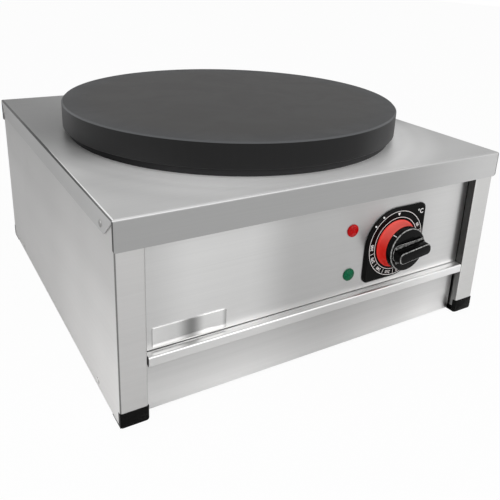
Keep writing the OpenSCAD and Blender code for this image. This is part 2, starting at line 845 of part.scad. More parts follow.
module drawer_tray() color("gainsboro") {
    difference() {
        span([-tray_half, tray_y, tray_z], [tray_half, tray_end, flange_z]);
        span([tray_t - tray_half, tray_y + tray_t, tray_z + tray_t],
            [tray_half - tray_t, tray_end - tray_t, flange_z + 1]);
    }
    for (s = [-1, 1]) {
        in = tray_half - eps;
        out = tray_half + tray_flange;
        span([min(s * in, s * out), tray_y, flange_z - tray_t],
            [max(s * in, s * out), tray_end, flange_z]);
        span([min(s * (out - 6), s * out), tray_end - stop_t, flange_z - eps],
            [max(s * (out - 6), s * out), tray_end, flange_z + stop_h]);
    }
}

module runner() {
    end = back_in - sheet - 4;
    inner = -runner_web;
    span([inner - runner_t, runner_y, lip_z - runner_t], [inner, end, shelf_z]);
    span([inner - runner_t, runner_y, lip_z - runner_t], [inner + runner_lip, end, lip_z]);
    span([inner - runner_t - runner_flange, runner_y, shelf_z - runner_t], [inner, end, shelf_z]);
}

module runner_left() color("silver") runner();

module runner_right() color("silver") mirror([1, 0, 0]) runner();

module drawer_stops() color("silver") {
    for (s = [-1, 1]) {
        a = s * (runner_web - 0.5);
        b = s * (runner_web - 0.5 - stop_w);
        span([min(a, b), stop_y - stop_t, flange_z + 1.5], [max(a, b), stop_y, shelf_z]);
        span([min(a, b), stop_y - stop_d, shelf_z - stop_t], [max(a, b), stop_y, shelf_z]);
    }
}

// ---------- supply ----------

module terminal_block() color("ivory") {
    translate([gland_x - terminal_w / 2, terminal_y - terminal_d / 2, floor_z]) difference() {
        cube([terminal_w, terminal_d, terminal_h]);
        for (i = [0 : 2]) translate([terminal_w / 2 + (i - 1) * 16, terminal_d / 2, terminal_h - 8])
            cylinder(h = 10, r = 1.9);
    }
}

module cable_gland() color([0.15, 0.15, 0.15]) {
    reach = gland_out + lip_step + sheet;
    on_back(gland_x, gland_z) difference() {
        union() {
            translate([0, 0, -sheet - gland_inside])
                cylinder(h = sheet + gland_inside + 1, r = gland_thread);
            cylinder(h = gland_flange, r = gland_hex, $fn = 6);
            translate([0, 0, gland_flange - eps]) cylinder(h = reach - gland_flange - 4, r = gland_hex - 1.5);
            translate([0, 0, reach - 4 - 2 * eps]) cylinder(h = 4 + 2 * eps, r1 = gland_hex - 1.5, r2 = gland_bore + 2.5);
        }
        translate([0, 0, -30]) cylinder(h = 80, r = gland_bore);
    }
}

module gland_locknut() color([0.15, 0.15, 0.15]) {
    on_back(gland_x, gland_z) translate([0, 0, -sheet - 5])
        hex_nut(gland_hex, 5, gland_thread + thread_gap);
}

module earth_stud() color("goldenrod") {
    on_back(earth_x, earth_z) {
        translate([0, 0, -sheet - 8]) cylinder(h = sheet + 8 + earth_l, r = earth_r);
        translate([0, 0, -sheet - 4]) cylinder(h = 4, r = earth_r * 1.9, $fn = 6);
        cylinder(h = 4, r = earth_r * 1.9, $fn = 6);
    }
}

// Faces of the pieces that the wires run to
thermostat_back = panel_y + sheet + plate_bracket + thermostat_d;
block_front = terminal_y - terminal_d / 2;
block_left = gland_x - terminal_w / 2;
limiter_back = limiter_y + limiter_d / 2;
lamp_back = panel_y + sheet + lamp_body_l;

module supply_wires() color("saddlebrown") {
    z = floor_z + terminal_h / 3;
    low = dial_z - thermostat_h / 4;
    run = block_front - thermostat_back;
    for (i = [0, 1]) {
        from_x = gland_x - 8 + 16 * i;
        to_x = dial_x + 4 + 7 * i;
        wire([[from_x, block_front - wire_end, z], [from_x, block_front - 0.1 * run, z],
            [from_x, block_front - 0.4 * run, z - 3], [to_x, thermostat_back + 0.25 * run, z],
            [to_x, thermostat_back + 0.08 * run, low], [to_x, thermostat_back + wire_end, low]]);
    }
}

// A wire from the pin of an element's leg to a point on the back of a piece
module leg_wire(x, r, to, sag) {
    y = plate_y + leg_y(r);
    top = pin_end - wire_end;
    wire([[x, y, top], [x, y, top - 15],
        [(2 * x + to[0]) / 3, (2 * y + to[1]) / 3, top - sag],
        [to[0], to[1] + 0.35 * (y - to[1]), (to[2] + top - sag) / 2],
        [to[0], to[1] + 12, to[2]], [to[0], to[1] + wire_end, to[2]]]);
}

module element_wires() color("seashell") {
    for (r = [ring_in, ring_out])
        leg_wire(-leg_x(r), r, [limiter_x + (r == ring_in ? 5 : -5), limiter_back,
            floor_z + limiter_h / 2], 45);
    leg_wire(leg_x(ring_in), ring_in, [dial_x - thermostat_w / 3, thermostat_back, dial_z], 40);
    x = leg_x(ring_out);
    y = plate_y + leg_y(ring_out);
    z = floor_z + terminal_h / 2;
    top = pin_end - wire_end;
    wire([[x, y, top], [x, y, top - 15], [(x + block_left) / 2, (y + terminal_y) / 2, (top + z) / 2],
        [block_left - 12, terminal_y, z], [block_left - wire_end, terminal_y, z]]);
}

module lamp_wires() color("steelblue") {
    side = dial_x - thermostat_w / 2;
    for (lamp = lamps) {
        z = lamp[0];
        end_z = (z + 2 * dial_z) / 3;
        wire([[lamp_x, lamp_back + wire_end, z], [lamp_x, lamp_back + 10, z],
            [(lamp_x + side) / 2, thermostat_back, (z + end_z) / 2],
            [side - 10, thermostat_back - 8, end_z], [side - wire_end, thermostat_back - 8, end_z]]);
    }
}

// ---------- fasteners ----------

module cover_rivets() color("silver") {
    at_rivets() {
        translate([0, 0, -2 * step - 1.5]) cylinder(h = 2 * step + 1.5, r = rivet_r - 0.05);
        intersection() {
            cylinder(h = rivet_head_h, r = rivet_head_r);
            translate([0, 0, rivet_head_h - 6.4]) sphere(6.4);
        }
    }
}

module back_screws() color("silver") {
    for (s = [-1, 1]) for (z = screw_z) translate([s * (post_in + post_w / 2), rear_y, z])
        rotate([-90, 0, 0]) pan_screw(screw_r, screw_head_r, screw_head_h / 2, screw_l);
}

module base_screws() color("silver") {
    for (s = [-1, 1]) for (y = base_screw_y())
        translate([s * side_x, y, base_z + base_flange / 2]) rotate([0, s * 90, 0])
            pan_screw(screw_r, screw_head_r, screw_head_h / 2, screw_l);
}

// ---------- assembly ----------

top_cover();
left_side_panel();
right_side_panel();
control_panel();
back_panel();
base_panel();
electrics_shelf();
foot_front_left();
foot_front_right();
foot_back_left();
foot_back_right();
cooking_plate();
heat_shield_pan();
insulation_blanket();
element_clamp_plate();
element_inner();
element_outer();
plate_studs();
stud_spacers();
stud_nuts();
sensor_bulb();
thermostat_body();
thermostat_spindle();
thermostat_screws();
dial_bezel();
knob_skirt();
knob();
safety_limiter();
lamp_lens_red();
lamp_lens_green();
lamp_bodies();
badge_plate();
drawer_front();
drawer_tray();
runner_left();
runner_right();
drawer_stops();
terminal_block();
cable_gland();
gland_locknut();
earth_stud();
supply_wires();
element_wires();
lamp_wires();
cover_rivets();
back_screws();
base_screws();
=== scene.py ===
"""Looks of an electric crepe maker: finishes for its sheets, plate and inner parts, and its fittings."""
import math

import bmesh
import bpy
from mathutils import Matrix, Vector


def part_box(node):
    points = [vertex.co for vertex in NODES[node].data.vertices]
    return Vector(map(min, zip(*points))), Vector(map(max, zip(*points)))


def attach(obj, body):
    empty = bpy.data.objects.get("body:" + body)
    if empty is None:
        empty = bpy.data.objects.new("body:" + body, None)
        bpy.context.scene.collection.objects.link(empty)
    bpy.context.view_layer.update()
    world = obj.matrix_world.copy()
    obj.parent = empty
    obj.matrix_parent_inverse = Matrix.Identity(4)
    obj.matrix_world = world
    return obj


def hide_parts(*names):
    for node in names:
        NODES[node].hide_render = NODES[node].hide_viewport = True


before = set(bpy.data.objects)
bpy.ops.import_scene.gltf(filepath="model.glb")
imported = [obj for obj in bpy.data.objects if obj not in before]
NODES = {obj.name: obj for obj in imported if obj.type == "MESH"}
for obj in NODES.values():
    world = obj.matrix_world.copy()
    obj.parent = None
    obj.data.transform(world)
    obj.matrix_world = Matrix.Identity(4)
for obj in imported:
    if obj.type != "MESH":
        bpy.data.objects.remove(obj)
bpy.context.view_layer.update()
MM = 0.001
TINY = 1e-4               # two heights of a mesh in millimetres count as one within this


def extent(node):
    """A node's lowest corner, middle and highest corner, in millimetres."""
    low, high = [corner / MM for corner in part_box(node)]
    return low, (low + high) / 2, high


def radius(node):
    """Radius of a round node, in millimetres."""
    low, _, high = extent(node)
    return (high.x - low.x) / 2


# Places on the appliance, in millimetres: x to the right, y to the back, z up
COVER_LOW, _, COVER_HIGH = extent("top_cover")
_, SIDE_MIDDLE, SIDE_HIGH = extent("right_side_panel")
PANEL_Y = extent("control_panel")[0].y
BACK_Y = extent("back_panel")[2].y
PLATE_CENTRE, PLATE_R = (0, extent("cooking_plate")[1].y, 0), radius("cooking_plate")

ACROSS, FORWARD, UP = (1, 0, 0), (0, -1, 0), (0, 0, 1)
RIGHT_FRONT = (0.85, -0.52, 0)


# ---------- finishes ----------

class Wire:
    """A number that runs through a finish; a sum on it adds Math nodes."""

    def __init__(self, graph, socket):
        self.graph, self.socket = graph, socket

    def math(self, operation, *others, swapped=False):
        values = (*others, self) if swapped else (self, *others)
        return self.graph.add("ShaderNodeMath", {"operation": operation}, dict(enumerate(values)))

    def sibling(self, output):
        """Another output of the same node."""
        return Wire(self.graph, self.socket.node.outputs[output])

    def __add__(self, other):
        return self.math("ADD", other)

    def __sub__(self, other):
        return self.math("SUBTRACT", other)

    def __rsub__(self, other):
        return self.math("SUBTRACT", other, swapped=True)

    def __mul__(self, other):
        return self.math("MULTIPLY", other)

    def __truediv__(self, other):
        return self.math("DIVIDE", other)

    def __gt__(self, other):
        return self.math("GREATER_THAN", other)

    def __lt__(self, other):
        return self.math("LESS_THAN", other)

    __radd__ = __add__
    __rmul__ = __mul__


class Graph:
    """The nodes of a material or of the sky, all of which come from add()."""

    def __init__(self, owner):
        owner.use_nodes = True
        self.tree = owner.node_tree
        self.tree.nodes.clear()

    def add(self, kind, settings=None, sockets=None, out=0):
        """Adds a node: its settings come first, then its sockets' values or links."""
        node = self.tree.nodes.new(kind)
        for name, value in (settings or {}).items():
            if name == "stops":
                node.color_ramp.interpolation = "EASE"
                stops = node.color_ramp.elements
                for at, tone in value[1:-1]:
                    stops.new(at)
                for stop, (at, tone) in zip(stops, value):
                    stop.position, stop.color = at, (*grey(tone), 1)
            else:
                setattr(node, name, value)
        for name, value in (sockets or {}).items():
            self.feed(node, name, value)
        return None if out is None else Wire(self, node.outputs[out])

    def feed(self, node, name, value):
        socket = node.inputs[name]
        if isinstance(value, Wire):
            self.tree.links.new(value.socket, socket)
        elif socket.type == "RGBA":
            socket.default_value = (*grey(value), 1)
        else:
            socket.default_value = value


class Finish(Graph):
    """One material of the appliance round its principled shader."""

    def __init__(self, name, **constants):
        self.material = bpy.data.materials.new(name)
        super().__init__(self.material)
        surface = self.add("ShaderNodeBsdfPrincipled")
        self.shader = surface.socket.node
        self.show(**constants)
        self.add("ShaderNodeOutputMaterial", sockets={"Surface": surface}, out=None)

    def show(self, **sockets):
        """Feeds the shader's own sockets, named with _ for a space."""
        for name, value in sockets.items():
            self.feed(self.shader, name.replace("_", " "), value)
        return self

    def place(self, scale=(1, 1, 1), centre=(0, 0, 0)):
        """Object coordinates from a centre in millimetres, then stretched."""
        here = self.add("ShaderNodeTexCoord", out="Object")
        centred = self.add("ShaderNodeMapping", None, {"Vector": here, "Location": [-c * MM for c in centre]})
        return self.add("ShaderNodeMapping", None, {"Vector": centred, "Scale": scale})

    def noise(self, place, size=1.0, detail=3.0, rough=0.5, warp=0.0):
        return self.add("ShaderNodeTexNoise", None, {
            "Vector": place, "Scale": size, "Detail": detail, "Roughness": rough, "Distortion": warp})

    def cells(self, place, size=1.0):
        return self.add("ShaderNodeTexVoronoi", None, {"Vector": place, "Scale": size})

    def ramp(self, value, *stops):
        """Maps a number onto grey stops, each (place, tone)."""
        return self.add("ShaderNodeValToRGB", {"stops": stops}, {"Fac": value})

    def slow(self, length, *stops):
        """A factor that changes slowly with a length; stops are (millimetres, factor)."""
        start, end = stops[0][0], stops[-1][0]
        reach = (length / MM - start) / (end - start)
        return self.ramp(reach, *[((at - start) / (end - start), factor / 2) for at, factor in stops]) * 2

    def along(self, direction, *stops):
        """A factor that changes slowly along a direction."""
        spot = self.add("ShaderNodeVectorMath", {"operation": "DOT_PRODUCT"},
                        {0: self.place(), 1: direction}, out="Value")
        return self.slow(spot, *stops)

    def plate_radius(self):
        """Level distance from the middle of the cooking plate."""
        flat = self.add("ShaderNodeVectorMath", {"operation": "MULTIPLY"},
                        {0: self.place(centre=PLATE_CENTRE), 1: (1, 1, 0)})
        return self.add("ShaderNodeVectorMath", {"operation": "LENGTH"}, {0: flat}, out="Value")

    def spot(self, axis):
        """One coordinate of the place."""
        return self.add("ShaderNodeSeparateXYZ", None, {0: self.place()}, out=axis)

    def blend(self, amount, one, other):
        """Mixes two colours."""
        return self.add("ShaderNodeMix", {"data_type": "RGBA"}, {0: amount, 6: one, 7: other}, out=2)

    def tint(self, colour, factor):
        """A colour made lighter or darker by a number."""
        return self.add("ShaderNodeVectorMath", {"operation": "SCALE"}, {0: colour, "Scale": factor})

    def slope(self, axis):
        """How far the surface looks along an axis, -1 to 1."""
        normal = self.add("ShaderNodeNewGeometry", out="Normal")
        return self.add("ShaderNodeSeparateXYZ", None, {0: normal}, out=axis)

    def facing(self, axis):
        """1 where the surface looks along an axis, either way."""
        return self.slope(axis).math("ABSOLUTE") > 0.7

    def bump(self, height, depth, strength=1.0):
        """Relief whose full height is depth, in millimetres."""
        return self.show(Normal=self.add("ShaderNodeBump", None, {
            "Height": height, "Distance": depth * MM, "Strength": strength}))


def grey(tone):
    return tone if hasattr(tone, "__len__") else (tone, tone, tone)


def shaded(colour, factor):
    return tuple(min(1, c * factor) for c in colour)


def brushed_steel(name, tone, rough, grain="level", bands=0.03, centre=(0, 0, 0), metal=1.0, brushed=0.0,
                  shade=None):
    """Stainless sheet: a fine grain and the bands of a polishing belt; shade adds its painted light and
    shade.
    """
    steel = Finish(name, Metallic=metal, Anisotropic=brushed, Anisotropic_Rotation=0.25)
    along, across = 7, 1500
    stretch = {"X": (along, across, across), "level": (along, along, across)}[grain]
    fine = steel.noise(steel.place(stretch, centre), 1.0, 4, 0.6)
    streaks = steel.noise(steel.place([s * 0.12 for s in stretch], centre), 1.0, 3, 0.55)
    if grain == "X":
        lip = steel.noise(steel.place((across, across, along), centre), 1.0, 4, 0.6)
        side = steel.facing("X")
        fine = fine * (1 - side) + lip * side
    belt = steel.noise(steel.place((5, 5, 0.7), centre), 1.0, 2, 0.4)
    cloud = steel.noise(steel.place((4, 4, 4), centre), 1.0, 4, 0.6)
    smear = steel.noise(steel.place((9, 9, 14), centre), 1.0, 5, 0.65, 0.6)
    smear = steel.ramp(smear, (0.55, 0), (0.75, 1))
    factor = 1 + (fine - 0.5) * 0.12 + (streaks - 0.5) * 0.05 + (belt - 0.5) * (bands * 2.5)
    # painted light and shade: each sheet's own shade function scales its colour
    if shade:
        factor = factor * shade(steel)
    steel.show(Base_Color=steel.tint(tone, factor),
               Roughness=rough + (cloud - 0.5) * 0.10 + (fine - 0.5) * 0.10 + smear * 0.04)
    return steel.bump(fine * 0.8 + streaks * 0.2, 0.02, 0.4).material


def swap(mask, inside, outside):
    """One number where the mask is 1 and another where it is 0."""
    return mask * inside + (1 - mask) * outside


def between(value, low, high):
    """1 where a number lies between two others."""
    return (value > low) * (value < high)


def cover_shade(steel):
    """Painted light and shade: top lighter in front and by the plate, lips dull, side folds a painted dark
    line with a painted highlight, lip ends painted dark or light.
    """
    # painted light: top lighter to the front and left of the middle, darker to the back and right
    deep = steel.along(FORWARD, (-233, 0.50), (-60, 0.49), (40, 0.73), (120, 1.19), (190, 1.26), (233, 1.19))
    wide = steel.along(ACROSS, (-228, 0.84), (-120, 1.11), (0, 1.0), (110, 0.82), (228, 0.76))
    # painted light round the front of the plate, lifting its shade and its dark reflection
    painted_light_by_plate = steel.slow(steel.plate_radius(), (200, 0.75), (214, 0.55), (232, 0.3), (262, 0.04), (320, 0))
    painted_light_by_plate = 1 + painted_light_by_plate * steel.along(FORWARD, (-10, 0), (90, 1))
    # painted shade: the front lip darker to its left, the side lips darker to the back
    front_lip = steel.along(ACROSS, (-228, 0.74), (60, 0.78), (228, 1.22))
    side_lip = steel.along(FORWARD, (-234, 0.64), (11, 0.69), (128, 0.81), (221, 0.92))
    ahead, sideways = [steel.slope(axis).math("ABSOLUTE") for axis in "YX"]
    # painted highlight on the front fold, brightest at the left
    edge = steel.along(ACROSS, (-228, 1.25), (0, 1.1), (228, 0.85))
    sheet = swap(ahead > 0.9, front_lip, swap(between(ahead, 0.25, 0.9), edge, deep * wide * painted_light_by_plate))
    # across each side fold: a painted highlight next to the top, a painted dark line next to the side lip
    start = steel.along(FORWARD, (-233, 0.13), (0, 0.15), (60, 0.35), (140, 0.5), (233, 0.6))
    light = steel.along(FORWARD, (-233, 0.95), (5, 0.95), (55, 1.35), (100, 1.6), (233, 1.8))
    dark = steel.along(FORWARD, (-233, 0.12), (-130, 0.1), (-60, 0.02), (20, 0.0), (110, 0.04), (233, 0.25))
    bend = swap(sideways > start, dark, light)
    sheet = swap(sideways > 0.96, side_lip, swap(between(sideways, 0.12, 0.96), bend, sheet))
    # painted shadow on the lip ends and on a strip beside the front one; painted light on the rear lip ends
    depth, across = steel.spot("Y"), steel.spot("X").math("ABSOLUTE")
    painted_end_shadow = (sideways > 0.9) * (depth < (COVER_LOW.y + 1.5) * MM)
    painted_end_light = (sideways > 0.9) * (depth > (COVER_HIGH.y - 1.3) * MM)
    painted_gap_shadow = (ahead > 0.9) * (across > (COVER_HIGH.x - 0.9) * MM)
    return swap(painted_end_shadow + painted_gap_shadow, 0.12, swap(painted_end_light, 1.7, sheet))


def panel_shade(steel):
    """Painted reflection in soft upright bands across the control panel, its lower edge a painted highlight.
    """
    bands = steel.along(ACROSS, (-199, 1.0), (-150, 1.2), (-95, 1.18), (-38, 0.88), (15, 0.89), (100, 1.02),
                        (170, 1.24))
    # painted highlight on the lower edge, over the shade of the gap below it
    return swap(steel.slope("Z") < -0.3, 2, bands)


def drawer_shade(steel):
    """Painted light of the drawer front: lighter downwards in soft upright bands, a painted shadow under the
    pull, the pull a painted highlight line between duller faces.
    """
    # painted reflection in soft upright bands
    bands = steel.along(ACROSS, (-199, 1.12), (-100, 1.26), (5, 0.98), (90, 1.12), (170, 1.40))
    # painted light lower down, and a painted shadow just under the pull
    down = steel.along(UP, (10, 1.18), (25, 1.05), (38, 0.93), (49, 0.87), (51, 0.77))
    # painted shade on the pull's top, darkest left of the middle
    top = steel.along(ACROSS, (-199, 0.80), (-120, 0.78), (-38, 0.70), (60, 0.90), (199, 1.05))
    # painted light on the pull's front, lighter to the right; its fold a painted highlight
    front = steel.along(ACROSS, (-199, 1.02), (-38, 1.03), (60, 1.12), (199, 1.25))
    upward = steel.slope("Z")
    pull = swap(between(upward, 0.25, 0.9), 0.95, front)
    sheet = swap(steel.spot("Y") < (PANEL_Y - 2.1) * MM, pull, down)
    # painted light on the pull's top next to the gap under the panel
    top = swap(steel.spot("Y") > (PANEL_Y - 1.4) * MM, 1.2, top)
    return bands * swap(upward > 0.9, top, sheet)


def side_shade(steel, front, inward, bend):
    """Painted light of a side sheet: lighter to the front and lower down, painted shade on its inner face,
    painted tones on its front bend and post, a painted highlight on its lower edges.
    """
    deep = steel.along(FORWARD, (-231, 0.92), (-120, 0.97), (0, 1.05), (120, 1.24), (190, 1.35), (231, 1.40))
    outside = deep * steel.along(UP, (2, 1.06), (50, 1.07), (100, 1.0), (150, 0.85), (200, 0.75))
    inner = steel.slope("X") * inward
    # painted tone of the post's front face
    face = swap(steel.facing("Y"), front, outside)
    # painted shade on the inner face, darker upwards
    painted_inner_shade = steel.along(UP, (15, 0.36), (55, 0.30), (80, 0.11))
    sheet = swap(inner > 0.8, painted_inner_shade, swap(between(inner, -0.92, -0.45), bend, face))
    # painted highlight on the faces that look down
    return swap(steel.slope("Z") < -0.3, 1.6, sheet)


def badge_shade(steel):
    """Painted reflection on the badge: a dark patch in its middle between light ends."""
    return steel.along(ACROSS, (-191, 1.2), (-170, 1.1), (-153, 0.42), (-138, 1.25), (-122, 1.3),
                       (-116.6, 0.7))


def zinc_sheet():
    """Zinc plated sheet of the inner parts: dull, with faint spangle."""
    zinc = Finish("zinc_plated_sheet", Metallic=1.0)
    spangle = zinc.cells(zinc.place(), 90)
    cloud = zinc.noise(zinc.place(), 14, 5, 0.6)
    zinc.show(Base_Color=zinc.blend(spangle * 0.5 + cloud * 0.5, (0.41, 0.4182, 0.4264),
                                    (0.575, 0.5865, 0.598)),
              Roughness=0.36 + cloud * 0.2)
    return zinc.bump(cloud, 0.05, 0.4).material


def cast_plate():
    """Seasoned cast iron: turned rings and old oil on the cooking face, a smooth dressed rim with painted
    highlights.
    """
    iron = Finish("seasoned_cast_iron", Specular_IOR_Level=0.26)
    place, from_middle = iron.place(centre=PLATE_CENTRE), iron.plate_radius()
    rings = (from_middle * 5200 + iron.noise(place, 9, 3, 0.5) * 6).math("SINE") * 0.5 + 0.5
    wide = iron.noise(iron.add("ShaderNodeCombineXYZ", None, {0: from_middle * 90}), 1.0, 4, 0.7)
    upward = iron.slope("Z")
    top = upward > 0.9
    edge = between(upward, 0.3, 0.9)
    skin = iron.noise(place, 700, 5, 0.6)
    oil = iron.ramp(iron.noise(place, 16, 6, 0.66, 0.6), (0.36, 0), (0.66, 1))
    streak = iron.noise(iron.place((300, 300, 8), PLATE_CENTRE), 1.0, 3, 0.5)
    outer = iron.ramp(from_middle / (PLATE_R * MM), (0.80, 0), (0.98, 1))
    face = iron.blend(oil * 0.5 + wide * 0.35, (0.019, 0.0182, 0.0178), (0.036, 0.035, 0.034))
    face = iron.blend(outer * 0.8, face, (0.030, 0.0315, 0.034))
    rim = iron.blend(skin * 0.5 + streak * 0.5, (0.002, 0.002, 0.0022), (0.007, 0.007, 0.0074))
    # painted highlight on the rim's side, one to the left and a weaker one to the right
    painted_rim_highlight = iron.along(RIGHT_FRONT, (-196, 0), (-178, 0.7), (-146, 0), (135, 0), (168, 0.35), (198, 0))
    rim = iron.blend(painted_rim_highlight, rim, (0.050, 0.050, 0.052))
    # painted highlight on the rim's chamfer
    rim = iron.blend(edge, rim, (0.085, 0.088, 0.092))
    iron.show(Base_Color=iron.blend(top, rim, face),
              Roughness=swap(top, 0.46 + oil * 0.06 + rings * 0.06, 0.36 + skin * 0.12))
    return iron.bump(swap(top, rings * 0.5 + wide * 0.6, skin * 0.7), 0.05, 0.6).material


def moulded(name, colour, rough=0.45, texture=0.0, coat=0.0, mottled=0.12, mirror=0.5, painted_sheen=None):
    """Moulded plastic: a hint of flow in the colour and fine pits; its last argument is the colour of a
    painted highlight on what looks up.
    """
    plastic = Finish(name, Coat_Weight=coat, Coat_Roughness=0.08, Specular_IOR_Level=mirror)
    flow = plastic.noise(plastic.place(), 120, 4, 0.55, 0.5)
    pits = plastic.noise(plastic.place(), 2600, 3, 0.6)
    wear = plastic.ramp(plastic.noise(plastic.place(), 300, 5, 0.7), (0.5, 0), (0.8, 1))
    base = plastic.blend(flow, shaded(colour, 1 - mottled), shaded(colour, 1 + mottled))
    # painted highlight on the faces that look up
    if painted_sheen:
        base = plastic.blend(plastic.ramp(plastic.slope("Z"), (0, 0), (0.95, 1)), base, painted_sheen)
    plastic.show(Base_Color=base, Roughness=rough + (pits - 0.5) * 0.12 + wear * 0.06)
    return plastic.bump(pits + wear * 0.3, 0.02 + texture, 0.5).material


def bare_metal(name, colour, rough=0.3, size=220, tarnish=0.25):
    """Turned or drawn metal with fine tool marks and a little tarnish."""
    metal = Finish(name, Metallic=1.0)
    marks = metal.noise(metal.place((1, 1, 6)), size * 6, 3, 0.6)
    cloud = metal.noise(metal.place(), size, 4, 0.6)
    metal.show(Base_Color=metal.blend(cloud, shaded(colour, 1 - tarnish), shaded(colour, 1.1)),
               Roughness=rough + (marks - 0.5) * 0.14 + (cloud - 0.5) * 0.12)
    return metal.bump(marks, 0.02, 0.4).material


def lens(name, colour, deep):
    """Clear coloured plastic over a pricked inner face that breaks up the light."""
    glass = Finish(name, Coat_Weight=0.05, Coat_Roughness=0.04, Specular_IOR_Level=0.12)
    prisms = glass.cells(glass.place(), 620)
    swirl = glass.noise(glass.place(), 260, 3, 0.5)
    glass.show(Base_Color=glass.blend(prisms * 1.3 + (swirl - 0.5) * 0.5, colour, deep),
               Roughness=0.10 + swirl * 0.08)
    return glass.bump(prisms, 0.12, 0.35).material


def worn_edge():
    """Black plastic whose edge takes a painted highlight in places."""
    edge = Finish("knob_edge_painted_highlight", Specular_IOR_Level=0.3)
    # painted highlight in patches along the edge, broken by fine scuffs
    painted_highlight_spots = edge.ramp(edge.noise(edge.place(), 420, 4, 0.7), (0.36, 0), (0.60, 1))
    scuffs_and_highlight_grain = edge.noise(edge.place((1, 1, 3)), 1800, 3, 0.6)
    edge.show(Base_Color=edge.blend(painted_highlight_spots * 0.75 + scuffs_and_highlight_grain * 0.25, (0.02, 0.02, 0.02), (0.50, 0.50, 0.49)),
              Roughness=0.28 + scuffs_and_highlight_grain * 0.1)
    return edge.bump(scuffs_and_highlight_grain, 0.03, 0.4).material


def wool():
    """Needled mineral wool blanket."""
    felt = Finish("mineral_wool")
    fibres = felt.noise(felt.place((1, 5, 1)), 420, 6, 0.75, 1.5)
    lumps = felt.noise(felt.place(), 60, 4, 0.6)
    felt.show(Base_Color=felt.blend(fibres, (0.55, 0.50, 0.38), (0.80, 0.77, 0.66)),
              Roughness=0.9 + lumps * 0.1)
    return felt.bump(fibres * 0.6 + lumps, 0.8, 0.8).material


def enamel():
    """Dark stove enamel of the heat shield pan: a little orange-peeled, painted shade black to its rear left
    and painted light to its right front.
    """
    glaze = Finish("dark_stove_enamel", Specular_IOR_Level=0.08)
    peel = glaze.noise(glaze.place(), 260, 2, 0.5)
    specks = glaze.cells(glaze.place(), 520)
    # painted shade at the rear left, painted light towards the right front
    painted_light_share = glaze.along(RIGHT_FRONT, (-190, 0), (-115, 0.03), (-30, 0.75), (190, 1))
    painted_shade_with_specks = glaze.blend(specks * 0.6, (0.0025, 0.0025, 0.003), (0.008, 0.008, 0.009))
    glaze.show(Base_Color=glaze.blend(painted_light_share, painted_shade_with_specks, (0.036, 0.036, 0.037)), Roughness=0.42 + peel * 0.12)
    return glaze.bump(peel, 0.08, 0.4).material


def element_skin():
    """Oxidised steel sheath of a tubular element, blued by the heat."""
    sheath = Finish("element_sheath", Metallic=0.7)
    scale = sheath.noise(sheath.place(), 150, 5, 0.65)
    heat = sheath.noise(sheath.place(), 22, 3, 0.5)
    colour = sheath.blend(heat, (0.060, 0.050, 0.048), (0.095, 0.090, 0.105))
    sheath.show(Base_Color=sheath.blend(scale * 0.5, colour, (0.16, 0.13, 0.10)),
                Roughness=0.5 + scale * 0.25)
    return sheath.bump(scale, 0.06, 0.5).material


